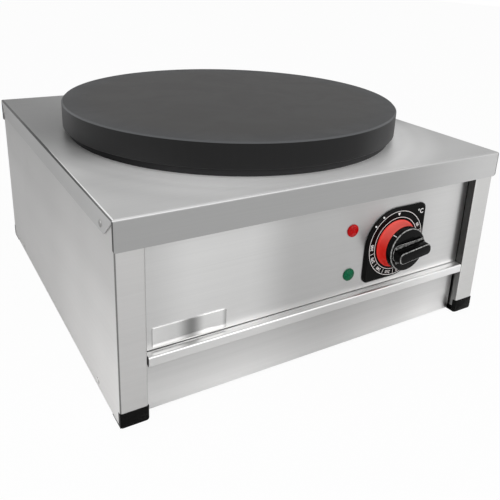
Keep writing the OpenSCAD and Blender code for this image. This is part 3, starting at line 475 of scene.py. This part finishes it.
FINISHES = {
    "cover": brushed_steel("brushed_steel_cover", (0.50, 0.50, 0.498), 0.42, "X", metal=0.35,
                           shade=cover_shade),
    # the left and right copies differ in painted light: the left's front bend a painted dark line, the
    # right's post a lighter painted tone
    "left": brushed_steel("brushed_steel_left_side", (0.58, 0.575, 0.57), 0.36, centre=(-226, 0, 100),
                          brushed=0.5, shade=lambda steel: side_shade(steel, 1.07, 1, 0.38)),
    "right": brushed_steel("brushed_steel_right_side", (0.60, 0.598, 0.59), 0.36, centre=(226, 0, 100),
                           brushed=0.5, shade=lambda steel: side_shade(steel, 1.26, -1, 1.0)),
    "panel": brushed_steel("brushed_steel_control_panel", (0.61, 0.609, 0.605), 0.32, centre=(30, 0, 130),
                           brushed=0.75, shade=panel_shade),
    "drawer": brushed_steel("brushed_steel_drawer_front", (0.60, 0.598, 0.594), 0.32, centre=(-40, 0, 40),
                            brushed=0.75, shade=drawer_shade),
    "back": brushed_steel("brushed_steel_back", (0.56, 0.556, 0.55), 0.38, bands=0.04, centre=(0, 230, 100),
                          brushed=0.5),
    "inner": brushed_steel("dull_steel_inner_sheet", (0.52, 0.52, 0.515), 0.45, bands=0.04),
    "zinc": zinc_sheet(),
    "bright": bare_metal("bright_fastener_steel", (0.62, 0.62, 0.61), 0.24, 500, 0.2),
    "rivet": bare_metal("rivet_steel", (0.36, 0.36, 0.355), 0.42, 700, 0.25),
    "iron": cast_plate(),
    "enamel": enamel(),
    "wool": wool(),
    "sheath": element_skin(),
    "copper": bare_metal("drawn_copper", (0.72, 0.34, 0.20), 0.32, 260, 0.35),
    "brass": bare_metal("turned_brass", (0.68, 0.50, 0.22), 0.27, 420, 0.3),
    "ceramic": moulded("glazed_ceramic", (0.80, 0.77, 0.70), 0.22, 0.02, 0.5, 0.05),
    "limiter": moulded("brown_phenolic", (0.11, 0.05, 0.025), 0.4, 0.01),
    "case": moulded("grey_phenolic", (0.16, 0.16, 0.165), 0.5, 0.02),
    "foot": moulded("black_foot_plastic", (0.0040, 0.0038, 0.0037), 0.26, 0.01, mirror=0.07),
    "gland": moulded("black_nylon", (0.020, 0.020, 0.021), 0.45, 0.02),
    "bezel": moulded("bezel_black_plastic", (0.0032, 0.0032, 0.0031), 0.3, mirror=0.06),
    "knob": moulded("knob_black_gloss", (0.0028, 0.0028, 0.0028), 0.18, 0.0, 0.08, mirror=0.07),
    "knob_edge": worn_edge(),
    # the skirt's upward faces take a painted pink highlight
    "skirt": moulded("skirt_red_plastic", (0.84, 0.022, 0.013), 0.38, 0.0, 0.0, 0.06, mirror=0.25,
                     painted_sheen=(1.0, 0.145, 0.12)),
    "print": moulded("print_white_ink", (0.95, 0.95, 0.94), 0.55, 0.0, 0, 0.03),
    "lens_red": lens("lens_red", (0.68, 0.002, 0.004), (0.36, 0.001, 0.002)),
    "lens_green": lens("lens_green", (0.002, 0.17, 0.072), (0.001, 0.085, 0.035)),
    "badge": brushed_steel("badge_polished_steel", (0.66, 0.66, 0.655), 0.14, bands=0.02,
                           centre=(-154, 0, 78), shade=badge_shade),
    "brown": moulded("brown_wire_cover", (0.13, 0.045, 0.02), 0.5),
    "blue": moulded("blue_wire_cover", (0.03, 0.10, 0.42), 0.5),
    "white": moulded("white_wire_cover", (0.75, 0.74, 0.70), 0.6),
}

DRESSED = {
    "top_cover": "cover", "left_side_panel": "left", "right_side_panel": "right",
    "control_panel": "panel", "back_panel": "back", "base_panel": "inner",
    "electrics_shelf": "inner", "foot_front_left": "foot", "foot_front_right": "foot",
    "foot_back_left": "foot", "foot_back_right": "foot", "cooking_plate": "iron",
    "heat_shield_pan": "enamel", "insulation_blanket": "wool", "element_clamp_plate": "zinc",
    "element_inner": "sheath", "element_outer": "sheath", "plate_studs": "bright",
    "stud_spacers": "zinc", "stud_nuts": "bright", "sensor_bulb": "copper",
    "thermostat_body": "case", "thermostat_spindle": "bright", "thermostat_screws": "bright",
    "dial_bezel": "bezel", "knob_skirt": "skirt", "knob": "knob", "safety_limiter": "limiter",
    "lamp_lens_red": "lens_red", "lamp_lens_green": "lens_green", "lamp_bodies": "case",
    "badge_plate": "badge", "drawer_front": "drawer", "drawer_tray": "inner",
    "runner_left": "zinc", "runner_right": "zinc", "drawer_stops": "zinc",
    "terminal_block": "ceramic", "cable_gland": "gland", "gland_locknut": "gland",
    "earth_stud": "brass", "supply_wires": "blue", "element_wires": "white",
    "lamp_wires": "brown", "cover_rivets": "rivet", "back_screws": "bright",
    "base_screws": "bright",
}
for node_name, finish_name in DRESSED.items():
    materials = NODES[node_name].data.materials
    materials.clear()
    materials.append(FINISHES[finish_name])


# ---------- shaping ----------

def on_panel(node):
    """From a fitting's own axes (right, up, out) to its node's place on the control panel."""
    _, middle, _ = extent(node)
    return Matrix(((1, 0, 0, middle.x), (0, 0, -1, PANEL_Y), (0, 1, 0, middle.z), (0, 0, 0, 1)))


def on_back(node):
    """From a fitting's own axes (right, up, out) to its node's place on the back panel."""
    _, middle, _ = extent(node)
    return Matrix(((-1, 0, 0, middle.x), (0, 0, 1, BACK_Y), (0, 1, 0, middle.z), (0, 0, 0, 1)))


def on_side(side, x, y, z):
    """From a fastener's own upright axis to its seat on the left (-1) or the right (1) of the appliance."""
    return Matrix.Translation((side * x, y, z)) @ Matrix.Rotation(side * math.pi / 2, 4, "Y")


def end_heads(node):
    """Height of a level row of round heads, and how far back its first and last heads are."""
    low, middle, high = extent(node)
    head_r = (high.z - low.z) / 2
    return middle.z, (low.y + head_r, high.y - head_r)


def finish_piece(bm, name, finishes, body, replaces=(), place=Matrix(), smooth=35, bevel=0.0):
    """Turns a mesh drawn in millimetres into a piece of the appliance; faces pick from its finishes."""
    bmesh.ops.remove_doubles(bm, verts=bm.verts, dist=0.002)
    bmesh.ops.transform(bm, matrix=Matrix.Scale(MM, 4) @ place, verts=bm.verts)
    bmesh.ops.recalc_face_normals(bm, faces=bm.faces)
    for face in bm.faces:
        face.smooth = True
    for edge in bm.edges:
        if len(edge.link_faces) == 2:
            edge.smooth = edge.calc_face_angle(0) < math.radians(smooth)
    mesh = bpy.data.meshes.new(name)
    bm.to_mesh(mesh)
    bm.free()
    for finish in finishes.split():
        mesh.materials.append(FINISHES[finish])
    piece = bpy.data.objects.new(name, mesh)
    bpy.context.scene.collection.objects.link(piece)
    if bevel:
        rounding = piece.modifiers.new("edge_rounding", "BEVEL")
        rounding.width, rounding.segments = bevel * MM, 2
        rounding.limit_method, rounding.angle_limit = "ANGLE", math.radians(smooth)
    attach(piece, body)
    if replaces:
        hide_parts(*replaces)
    return piece


def turned(bm, profile, steps=96):
    """Spins a profile of (radius, height) points round the upright axis."""
    start = [bm.verts.new((r, 0, z)) for r, z in profile]
    edges = [bm.edges.new(pair) for pair in zip(start, start[1:])]
    bmesh.ops.spin(bm, geom=start + edges, cent=(0, 0, 0), axis=(0, 0, 1),
                   angle=2 * math.pi, steps=steps, use_merge=True)
    bmesh.ops.remove_doubles(bm, verts=bm.verts, dist=0.0005)
    return bm


def arc(cx, cz, r, start, end, steps):
    """Points of a rounded corner in a profile, angles in degrees."""
    return [(cx + r * math.cos(math.radians(start + (end - start) * i / steps)),
             cz + r * math.sin(math.radians(start + (end - start) * i / steps)))
            for i in range(steps + 1)]


def loop_edges(bm, test):
    """Edges whose two ends both pass a test of their place."""
    return [e for e in bm.edges if all(test(v.co) for v in e.verts)]


def upright_edges(bm):
    """Edges that climb by more than half a millimetre."""
    return [e for e in bm.edges if abs(e.verts[0].co.z - e.verts[1].co.z) > 0.5]


def only_verts(geometry):
    return [part for part in geometry if isinstance(part, bmesh.types.BMVert)]


def bevel(bm, geometry, offset, segments, affect="EDGES"):
    """Rounds edges or corners, and gives the new faces."""
    return bmesh.ops.bevel(bm, geom=geometry, offset=offset, affect=affect, segments=segments, profile=0.5,
                           material=-1)["faces"]


def cap(bm, level):
    """Fills what lies between the open rims at one height."""
    rims = [e for e in loop_edges(bm, lambda co: abs(co.z - level) < TINY) if e.is_boundary]
    bmesh.ops.triangle_fill(bm, use_beauty=True, use_dissolve=False, edges=rims)


def drum(bm, r, height, segments, place):
    """A short round or cornered bar that becomes part of a larger piece; gives its vertices."""
    made = bmesh.ops.create_cone(bm, cap_ends=True, segments=segments, radius1=r, radius2=r,
                                 depth=height)["verts"]
    bmesh.ops.transform(bm, matrix=place, verts=made)
    return made


def block(bm, size, centre, turn=Matrix()):
    """A box that becomes part of a larger piece."""
    made = bmesh.ops.create_cube(bm, size=1)["verts"]
    place = turn @ Matrix.Translation(centre) @ Matrix.Diagonal((*size, 1))
    bmesh.ops.transform(bm, matrix=place, verts=made)


def add_copies(bm, one, places):
    """Adds a small mesh to a larger one at each of its places, and uses it up."""
    part = bpy.data.meshes.new("part")
    one.to_mesh(part)
    one.free()
    for place in places:
        before = len(bm.verts)
        bm.from_mesh(part)
        bm.verts.ensure_lookup_table()
        bmesh.ops.transform(bm, matrix=place, verts=bm.verts[before:])
    bpy.data.meshes.remove(part)
    return bm


def hexagon(bm, r, low, high, chamfer=0.5):
    """Hexagon of a nut or gland, its corners at r, its crown and foot chamfered."""
    body = drum(bm, r, high - low, 6, Matrix.Translation((0, 0, (low + high) / 2)))
    rims = {e for v in body for e in v.link_edges if abs(e.verts[0].co.z - e.verts[1].co.z) < TINY}
    bevel(bm, list(rims), chamfer, 2)


# ---------- dial ----------

BEZEL_T, BEZEL_STEP = 3.4, 1.4                          # thickness of the bezel, and of its foot
FACE_R, BASE_R, RECESS_R, HUB_R = 38.8, 41.2, 28.5, 8   # its face, foot, recess and hole
INK = 0.04                                              # half the thickness of the print
PRINT_Z = BEZEL_T + 0.01
HEATS = range(60, 301, 30)                              # figures of the dial, in degrees Celsius
FIRST_FIGURE, SWEEP = 60, 0.883                         # its first figure's angle, and the turn per degree
FIGURE_R, DOT_R = 33.8, 39.6

KNOB_LOW, _, KNOB_HIGH = extent("knob")
KNOB_BACK, KNOB_FACE, GRIP_TOP = PANEL_Y - KNOB_HIGH.y, 22.2, PANEL_Y - KNOB_LOW.y   # heights over the panel
KNOB_R, SKIRT_R, SPINDLE_R = radius("knob"), radius("knob_skirt"), 3.1
SHOULDER = 1.6                                          # rounding of the knob's face
GRIP_TILT = math.radians(7)


def leaf(bm, r, corner):
    """Leaf-shaped face: a disc with its upper right and lower left corners drawn out."""
    bmesh.ops.create_grid(bm, x_segments=1, y_segments=1, size=r)
    for drawn_out, offset, steps in ((False, r, 32), (True, corner, 8)):
        corners = [v for v in bm.verts if abs(abs(v.co.x) - r) < TINY and abs(abs(v.co.y) - r) < TINY
                   and (v.co.x * v.co.y > 0) == drawn_out]
        bevel(bm, corners, offset, steps, "VERTICES")
    return bm.faces[:]


def dial_bezel():
    """Black leaf on a wider foot, with a recess for the skirt and a hole for the hub."""
    bm = bmesh.new()
    base = leaf(bm, BASE_R, 7.5)
    raised = bmesh.ops.extrude_face_region(bm, geom=base)["geom"]
    bmesh.ops.translate(bm, vec=(0, 0, BEZEL_STEP), verts=only_verts(raised))
    top = [f for f in raised if isinstance(f, bmesh.types.BMFace)]
    bmesh.ops.inset_region(bm, faces=top, thickness=BASE_R - FACE_R, depth=0, use_even_offset=True)
    face = list({v for f in top for v in f.verts})
    bmesh.ops.translate(bm, vec=(0, 0, BEZEL_T - BEZEL_STEP), verts=face)
    bmesh.ops.delete(bm, geom=[f for f in bm.faces if abs(f.normal.z) > 0.99], context="FACES_ONLY")
    floor = BEZEL_T - 1.2
    turned(bm, [(RECESS_R, BEZEL_T), (RECESS_R, floor), (HUB_R, floor), (HUB_R, 0)])
    for level in (0, BEZEL_T):
        cap(bm, level)
    return finish_piece(bm, "dial_bezel_moulding", "bezel", "housing",
                        ["dial_bezel"], on_panel("dial_bezel"), bevel=0.35)


def clock(degrees, r, height):
    """Matrix of a mark that stands on the dial at a clockwise angle, its top outwards."""
    return Matrix.Rotation(math.radians(-degrees), 4, "Z") @ Matrix.Translation((0, r, height))


def heat_mark(heat, r):
    """Matrix of a printed mark at a temperature of the dial."""
    return clock(FIRST_FIGURE + (heat - HEATS[0]) * SWEEP, r, PRINT_Z)


def stamp(marks):
    """Letters and figures, each (text, size, matrix), as one thin raised print."""
    bm = bmesh.new()
    for words, size, place in marks:
        curve = bpy.data.curves.new("letters", "FONT")
        curve.body, curve.size, curve.resolution_u = words, size, 3
        curve.extrude, curve.offset = INK, 0.02 * size
        curve.align_x, curve.align_y = "CENTER", "CENTER"
        letters = bpy.data.objects.new("letters", curve)
        flat = bpy.data.meshes.new_from_object(letters)
        flat.transform(place)
        bm.from_mesh(flat)
        bpy.data.objects.remove(letters)
        bpy.data.meshes.remove(flat)
    return bm


def dial_print():
    """Rings, figures and marks printed on the bezel."""
    unit = ("°C", 7.4, Matrix.Translation((31.8, 32.2, PRINT_Z)))
    bm = stamp([(str(heat), 4.9, heat_mark(heat, FIGURE_R)) for heat in HEATS] + [unit])
    low, high = BEZEL_T - 0.05, PRINT_Z + INK
    for r in (30.3, 37.5):
        turned(bm, [(r - 0.3, low), (r - 0.3, high), (r + 0.3, high), (r + 0.3, low)], 128)
    for heat in HEATS[:-1]:
        block(bm, (0.5, 5.2, 0.09), (0, 0, 0), heat_mark(heat + HEATS.step / 2, FIGURE_R + 0.1))
    drum(bm, 2.3, 0.09, 3, Matrix.Translation((0, 34.6, PRINT_Z)) @ Matrix.Rotation(math.pi, 4, "Z"))
    for angle in (-32, -51):
        drum(bm, 1, 0.5, 16, clock(angle, DOT_R, 2.72) @ Matrix.Rotation(math.radians(-40), 4, "X"))
    return finish_piece(bm, "dial_print", "print", "housing", (), on_panel("dial_bezel"))


def knob_skirt():
    """Red dished ring that turns with the knob."""
    bm = bmesh.new()
    low, lip = 2.9, 3.9
    quarter = [math.pi / 2 * step / 10 for step in range(11)]
    dish = [(SKIRT_R - 3 * math.sin(a), lip + (KNOB_BACK - lip) * (1 - math.cos(a))) for a in quarter]
    turned(bm, [(SPINDLE_R, low), (SKIRT_R - 0.4, low), (SKIRT_R, low + 0.4)] + dish
           + [(SPINDLE_R, KNOB_BACK), (SPINDLE_R, low)])
    return finish_piece(bm, "knob_skirt_ring", "skirt", "dial", ["knob_skirt"],
                        on_panel("knob_skirt"))


def grip_tier(bm, size, low, high, corner, crown):
    """One storey of the grip with rounded ends; its crown's rounding takes the painted highlight."""
    block(bm, (*size, high - low), (0, 0, (low + high) / 2))
    bmesh.ops.scale(bm, vec=(0.97, 0.94, 1), verts=[v for v in bm.verts if v.co.z > high - 0.1])
    bevel(bm, upright_edges(bm), corner, 8)
    for face in bevel(bm, loop_edges(bm, lambda co: co.z > high - 0.1), crown, 3):
        face.material_index = 1
    return bm


def knob():
    """Round knob with a grip in two storeys across it, the lower one ribbed along its edges."""
    bm = bmesh.new()
    turned(bm, [(3, KNOB_BACK), (KNOB_R - 0.3, KNOB_BACK), (KNOB_R, KNOB_BACK + 0.4)]
           + arc(KNOB_R - SHOULDER, KNOB_FACE - SHOULDER, SHOULDER, 0, 90, 6) + [(0, KNOB_FACE)])
    # the upper left of the face's rim takes the painted highlight finish
    for face in bm.faces:
        middle = face.calc_center_median()
        if 23.3 < middle.xy.length < 24.2 and middle.z > 21 and middle.y - middle.x > -8:
            face.material_index = 1
    turn = Matrix.Rotation(GRIP_TILT, 4, "Z")
    add_copies(bm, grip_tier(bmesh.new(), (47, 19.4), KNOB_FACE - 1, 24.2, 6.5, 0.35), [turn])
    add_copies(bm, grip_tier(bmesh.new(), (45, 13.2), 24, GRIP_TOP, 5.2, 0.8), [turn])
    rib = bmesh.new()
    block(rib, (0.85, 2.2, 1.0), (0, 0, 0))
    # the ribs take the painted highlight finish
    for face in rib.faces:
        face.material_index = 1
    add_copies(bm, rib, [turn @ Matrix.Translation((i * 1.7, side * 8.6, 24.4))
                         for side in (1, -1) for i in range(-11, 12)])
    return finish_piece(bm, "knob_with_grip", "knob knob_edge", "dial", ["knob"],
                        on_panel("knob"))


def knob_mark():
    """White line on the knob's shoulder that points to the figures."""
    bm = bmesh.new()
    block(bm, (0.9, 0.3, 4.6), (0, KNOB_R - 0.05, 17.6), Matrix.Rotation(math.radians(44), 4, "Z"))
    return finish_piece(bm, "knob_pointer_mark", "print", "dial", (), on_panel("knob"))


# ---------- lamps, badge and fasteners ----------

SHANK = [(0, -6), (1.9, -6), (1.9, 0)]      # profile of the part of a screw that its hole hides
BACK_SCREW_ROWS = (40, 105, 168)            # heights of the back panel's screws


def lamp(name, finish, node):
    """Signal lamp: a domed lens with four ridges that meet in its middle."""
    bm = bmesh.new()
    r_lens, rim_z = radius(node), 1.32
    dome = [(r, 0.1 + 3.4 * math.sqrt(1 - (r / 7.2) ** 2)) for r in (6.3, 5.6, 4.6, 3.4, 2.2, 1.1, 0)]
    turned(bm, [(0, -1.2), (5.5, -1.2), (5.5, 0), (r_lens, 0)] + arc(r_lens - 0.5, 0.8, 0.5, 0, 90, 3)
           + dome, 64)
    for v in bm.verts:
        if v.co.z > rim_z:
            r, around = v.co.xy.length, math.atan2(v.co.y, v.co.x)
            groove = 0.24 * r * abs(math.cos(2 * around)) * (1 - r / 9)
            v.co.z = max(v.co.z - groove, rim_z)
    return finish_piece(bm, name, finish, "housing", [node], on_panel(node), smooth=20)


def badge():
    """Small bare plate with a fine rolled edge."""
    bm = bmesh.new()
    low, _, high = extent("badge_plate")
    wide, thick, tall = high - low
    block(bm, (wide, tall, thick), (0, 0, thick / 2))
    bevel(bm, upright_edges(bm), 1, 4)
    face = [f for f in bm.faces if f.normal.z > 0.9]
    bmesh.ops.inset_region(bm, faces=face, thickness=0.5, depth=0.12)
    return finish_piece(bm, "badge_plate_bare", "badge", "housing", ["badge_plate"],
                        on_panel("badge_plate"), bevel=0.12)


def cross_recess(bm, height, head):
    """Flat top of a screw head with a cross recess."""
    grid = bmesh.ops.create_grid(bm, x_segments=3, y_segments=3, size=head * 0.5)["verts"]
    for v in grid:
        for axis in (0, 1):
            if abs(v.co[axis]) < head * 0.3:
                v.co[axis] = math.copysign(head * 0.12, v.co[axis])
    bmesh.ops.translate(bm, vec=(0, 0, height), verts=grid)
    faces = {f for v in grid for f in v.link_faces}
    corners = [f for f in faces if all(abs(c) > head * 0.2 for c in f.calc_center_median().xy)]
    bmesh.ops.delete(bm, geom=corners, context="FACES")
    cross = [f for f in faces if f.is_valid]
    low = only_verts(bmesh.ops.extrude_face_region(bm, geom=cross)["geom"])
    bmesh.ops.translate(bm, vec=(0, 0, -0.35 * head), verts=low)
    bmesh.ops.scale(bm, vec=(0.7, 0.7, 1), verts=low)
    bmesh.ops.delete(bm, geom=[f for f in cross if f.is_valid], context="FACES_ONLY")
    cap(bm, height)


def back_screws():
    """Pan-head screws with a cross recess, in a column at each side of the back."""
    one = turned(bmesh.new(), SHANK + [(3.6, 0), (3.6, 0.3)] + arc(2.4, -0.2, 1.2, 12, 80, 5)[1:], 32)
    cross_recess(one, max(v.co.z for v in one.verts), 3.6)
    outwards = Matrix.Rotation(-math.pi / 2, 4, "X")
    places = [Matrix.Translation((side * SIDE_MIDDLE.x, SIDE_HIGH.y, z)) @ outwards
              for side in (-1, 1) for z in BACK_SCREW_ROWS]
    return finish_piece(add_copies(bmesh.new(), one, places), "back_pan_screws", "rivet", "housing",
                        ["back_screws"])


def side_screws():
    """Low flat heads in the side sheets' own steel."""
    heads = bmesh.new()
    height, depths = end_heads("base_screws")
    for finish, side in enumerate((-1, 1)):
        one = turned(bmesh.new(), SHANK + [(3.5, 0), (3.6, 0.1), (3.6, 0.3), (3.4, 0.5), (0, 0.5)], 32)
        for face in one.faces:
            face.material_index = finish
        add_copies(heads, one, [on_side(side, SIDE_HIGH.x, y, height) for y in depths])
    return finish_piece(heads, "base_flat_screws", "left right", "housing",
                        ["base_screws"])


def rivets():
    """Blind rivets with the dimple that the mandrel leaves."""
    head = [(3.4, 0), (3.4, 0.15), (3.0, 0.6), (2.3, 0.9), (1.5, 1.0), (1.15, 0.95), (0.9, 0.4), (0, 0.35)]
    one = turned(bmesh.new(), [(0, -4), (1.55, -4), (1.55, 0)] + head, 32)
    height, depths = end_heads("cover_rivets")
    places = [on_side(side, COVER_HIGH.x, y, height) for side in (-1, 1) for y in depths]
    return finish_piece(add_copies(bmesh.new(), one, places), "cover_blind_rivets", "rivet", "housing",
                        ["cover_rivets"])


def foot(end, hand):
    """Black corner foot: a rounded block before the post, a pad under the sheet and a plug up the post."""
    corner = f"{end}_{hand}"
    node = f"foot_{corner}"
    low, middle, high = extent(node)
    wide, deep, tall = high - low
    front_t = 4.8
    bm = bmesh.new()
    block(bm, (wide, front_t, tall), (0, front_t / 2, tall / 2))
    lower = [e for e in loop_edges(bm, lambda co: co.z < 1) if abs(e.verts[0].co.x - e.verts[1].co.x) < 1]
    bevel(bm, lower, 2.8, 6)
    bevel(bm, loop_edges(bm, lambda co: co.y < 0.1), 0.9, 3)
    block(bm, (wide - 0.6, deep - 1.2, 2), (0, deep / 2 + 0.6, 1))
    block(bm, (24, 17.2, 12), (0, 12.6, 7))
    for x in (-8, 0, 8):
        block(bm, (1.2, 17.6, 11), (x, 12.6, 7.2))
    face, inward = (low.y, 1) if end == "front" else (high.y, -1)
    place = Matrix.Translation((middle.x, face, 0)) @ Matrix.Diagonal((1, inward, 1, 1))
    return finish_piece(bm, f"foot_moulding_{corner}", "foot", "housing", [node], place,
                        bevel=0.3)


def thread(r, low, high, pitch, depth):
    """Profile points of a thread's ridges."""
    turns = int((high - low) / pitch)
    return [(r - depth * (half % 2), low + pitch * half / 2) for half in range(2 * turns + 1)]


def cable_gland():
    """Nylon gland: threaded stem, hexagon, and a ribbed dome nut over a rubber seal."""
    bm = bmesh.new()
    bore, stem_end = 4.5, -10.2
    stem = thread(8, stem_end, -1.7, 1.5, 0.7) + [(8, 0), (9.5, 0), (9.5, 6)]
    dome = [(10.3, z) for z in (6.2, 8, 9, 18, 19)] + arc(8.3, 21.4, 2, 0, 60, 4) + [(7.4, 25)]
    seal = [(6.9, 25.2), (6.4, 24.9), (6.2, 24.2), (5.0, 23.9), (bore, 23.4)]
    turned(bm, [(bore, stem_end)] + stem + dome + seal + [(bore, stem_end)])
    for v in bm.verts:
        if 8.5 < v.co.z < 18.5 and v.co.xy.length > 10:
            v.co.xy *= 1 - 0.035 * (math.cos(24 * math.atan2(v.co.y, v.co.x)) > 0)
    hexagon(bm, 12, 0.8, 5.8, 0.6)
    turned(bm, [(8, 0), (11.2, 0), (11.5, 0.3), (11.2, 0.9), (8, 0.9)], 64)
    return finish_piece(bm, "cable_gland_ribbed", "gland", "housing", ["cable_gland"],
                        on_back("cable_gland"))


def earth_stud():
    """Brass stud through the back with its nuts, washer and thread."""
    bm = bmesh.new()
    turned(bm, [(0, -9.2), (2.6, -9.2)] + thread(3, -8.8, 15.2, 1, 0.45) + [(2.5, 15.9), (0, 16)], 32)
    turned(bm, [(3.1, 0), (6.2, 0), (6.4, 0.2), (6.4, 0.7), (6.2, 0.9), (3.1, 0.9)], 48)
    hexagon(bm, 5.7, 0.9, 4.6)
    hexagon(bm, 5.7, -5.2, -1.25)
    return finish_piece(bm, "earth_stud_with_nuts", "brass", "housing", ["earth_stud"],
                        on_back("earth_stud"))


# ---------- camera, floor and light ----------

EYE = (-0.36563, -0.66238, 0.39845)             # place of the camera, in metres
YAW, PITCH, ROLL = -0.5482, -0.3424, 0.0405     # its turn, in radians
PICTURE, FOCAL, CENTRE_ROW = 500, 615.2, 180    # picture's side, focal length and optical centre, in pixels
SENSOR = 36                                     # side of the sensor, in millimetres
WHITE = (1, 1, 1)
SKY_LIGHT = 0.55                                # strength of the sky as a light
FLOOR_GLOW = 0.95                               # share of plain white in the floor that the camera sees


def camera():
    """The view from the front left, with its optical centre above the middle of the picture."""
    ahead = math.cos(PITCH)
    forward = Vector((-math.sin(YAW) * ahead, math.cos(YAW) * ahead, math.sin(PITCH)))
    level = Vector((math.cos(YAW), math.sin(YAW), 0))
    upright = level.cross(forward)
    right = math.cos(ROLL) * level + math.sin(ROLL) * upright
    up = -math.sin(ROLL) * level + math.cos(ROLL) * upright
    data = bpy.data.cameras.new("camera")
    data.sensor_width, data.lens = SENSOR, FOCAL / PICTURE * SENSOR
    data.shift_y = (CENTRE_ROW - PICTURE / 2) / PICTURE
    view = bpy.data.objects.new("camera", data)
    view.matrix_world = Matrix.Translation(EYE) @ Matrix((right, up, -forward)).transposed().to_4x4()
    bpy.context.scene.collection.objects.link(view)
    bpy.context.scene.camera = view


def area_lamp(name, at, aim, size, watts):
    """A soft box that looks at a point."""
    data = bpy.data.lights.new(name, "AREA")
    data.shape, data.size, data.size_y, data.energy = "RECTANGLE", size[0], size[1], watts
    lit = bpy.data.objects.new(name, data)
    lit.location = at
    lit.rotation_mode = "QUATERNION"
    lit.rotation_quaternion = (Vector(aim) - Vector(at)).to_track_quat("-Z", "Y")
    bpy.context.scene.collection.objects.link(lit)


def sky():
    """A soft white sky, plain white where it is seen or mirrored."""
    world = bpy.data.worlds.new("studio")
    bpy.context.scene.world = world
    graph = Graph(world)
    camera_ray = graph.add("ShaderNodeLightPath", out="Is Camera Ray")
    plain = camera_ray.math("MAXIMUM", camera_ray.sibling("Is Glossy Ray"))
    plain = plain.math("MAXIMUM", camera_ray.sibling("Is Transmission Ray"))
    light, white = [graph.add("ShaderNodeBackground", None, {"Color": WHITE, "Strength": strength})
                    for strength in (SKY_LIGHT, 1)]
    both = graph.add("ShaderNodeMixShader", None, {0: plain, 1: light, 2: white})
    graph.add("ShaderNodeOutputWorld", None, {"Surface": both}, out=None)


def sheet_of_stage(name, size, place, colour, glow=0.0):
    """A flat plane of the studio in one matt colour, which glows a little where the camera sees it."""
    bm = bmesh.new()
    bmesh.ops.create_grid(bm, x_segments=1, y_segments=1, size=0.5)
    bmesh.ops.transform(bm, matrix=place @ Matrix.Diagonal((*size, 1, 1)), verts=bm.verts)
    mesh = bpy.data.meshes.new(name)
    bm.to_mesh(mesh)
    bm.free()
    paint = bpy.data.materials.new(name)
    graph = Graph(paint)
    share = graph.add("ShaderNodeLightPath", out="Is Camera Ray") * glow
    matt = graph.add("ShaderNodeBsdfDiffuse", None, {"Color": colour})
    lit = graph.add("ShaderNodeEmission", None, {"Color": WHITE})
    both = graph.add("ShaderNodeMixShader", None, {0: share, 1: matt, 2: lit})
    graph.add("ShaderNodeOutputMaterial", None, {"Surface": both}, out=None)
    mesh.materials.append(paint)
    plane = bpy.data.objects.new(name, mesh)
    bpy.context.scene.collection.objects.link(plane)
    return plane


def studio():
    """White floor and sky, two soft boxes, and a grey card that only mirrors see."""
    sky()
    sheet_of_stage("floor", (12, 12), Matrix(), 0.86, FLOOR_GLOW)
    standing = Matrix.Rotation(-0.5, 4, "Z") @ Matrix.Rotation(math.pi / 2, 4, "X")
    card = sheet_of_stage("grey_card", (5.2, 0.9), Matrix.Translation((1.4, 2.4, 0.45)) @ standing, 0.18)
    card.visible_camera = card.visible_diffuse = card.visible_shadow = False
    area_lamp("front_soft_box", (0.5, -1.7, 1.3), (0, 0, 0.1), (2.0, 1.3), 15)
    area_lamp("side_soft_box", (-1.7, -0.2, 1.0), (0, 0, 0.1), (1.2, 1.2), 9)
    bpy.context.scene.view_settings.view_transform = "Standard"


camera()
dial_bezel()
dial_print()
knob_skirt()
knob()
knob_mark()
lamp("lamp_red", "lens_red", "lamp_lens_red")
lamp("lamp_green", "lens_green", "lamp_lens_green")
badge()
back_screws()
side_screws()
rivets()
for end in ("front", "back"):
    for hand in ("left", "right"):
        foot(end, hand)
cable_gland()
earth_stud()
studio()
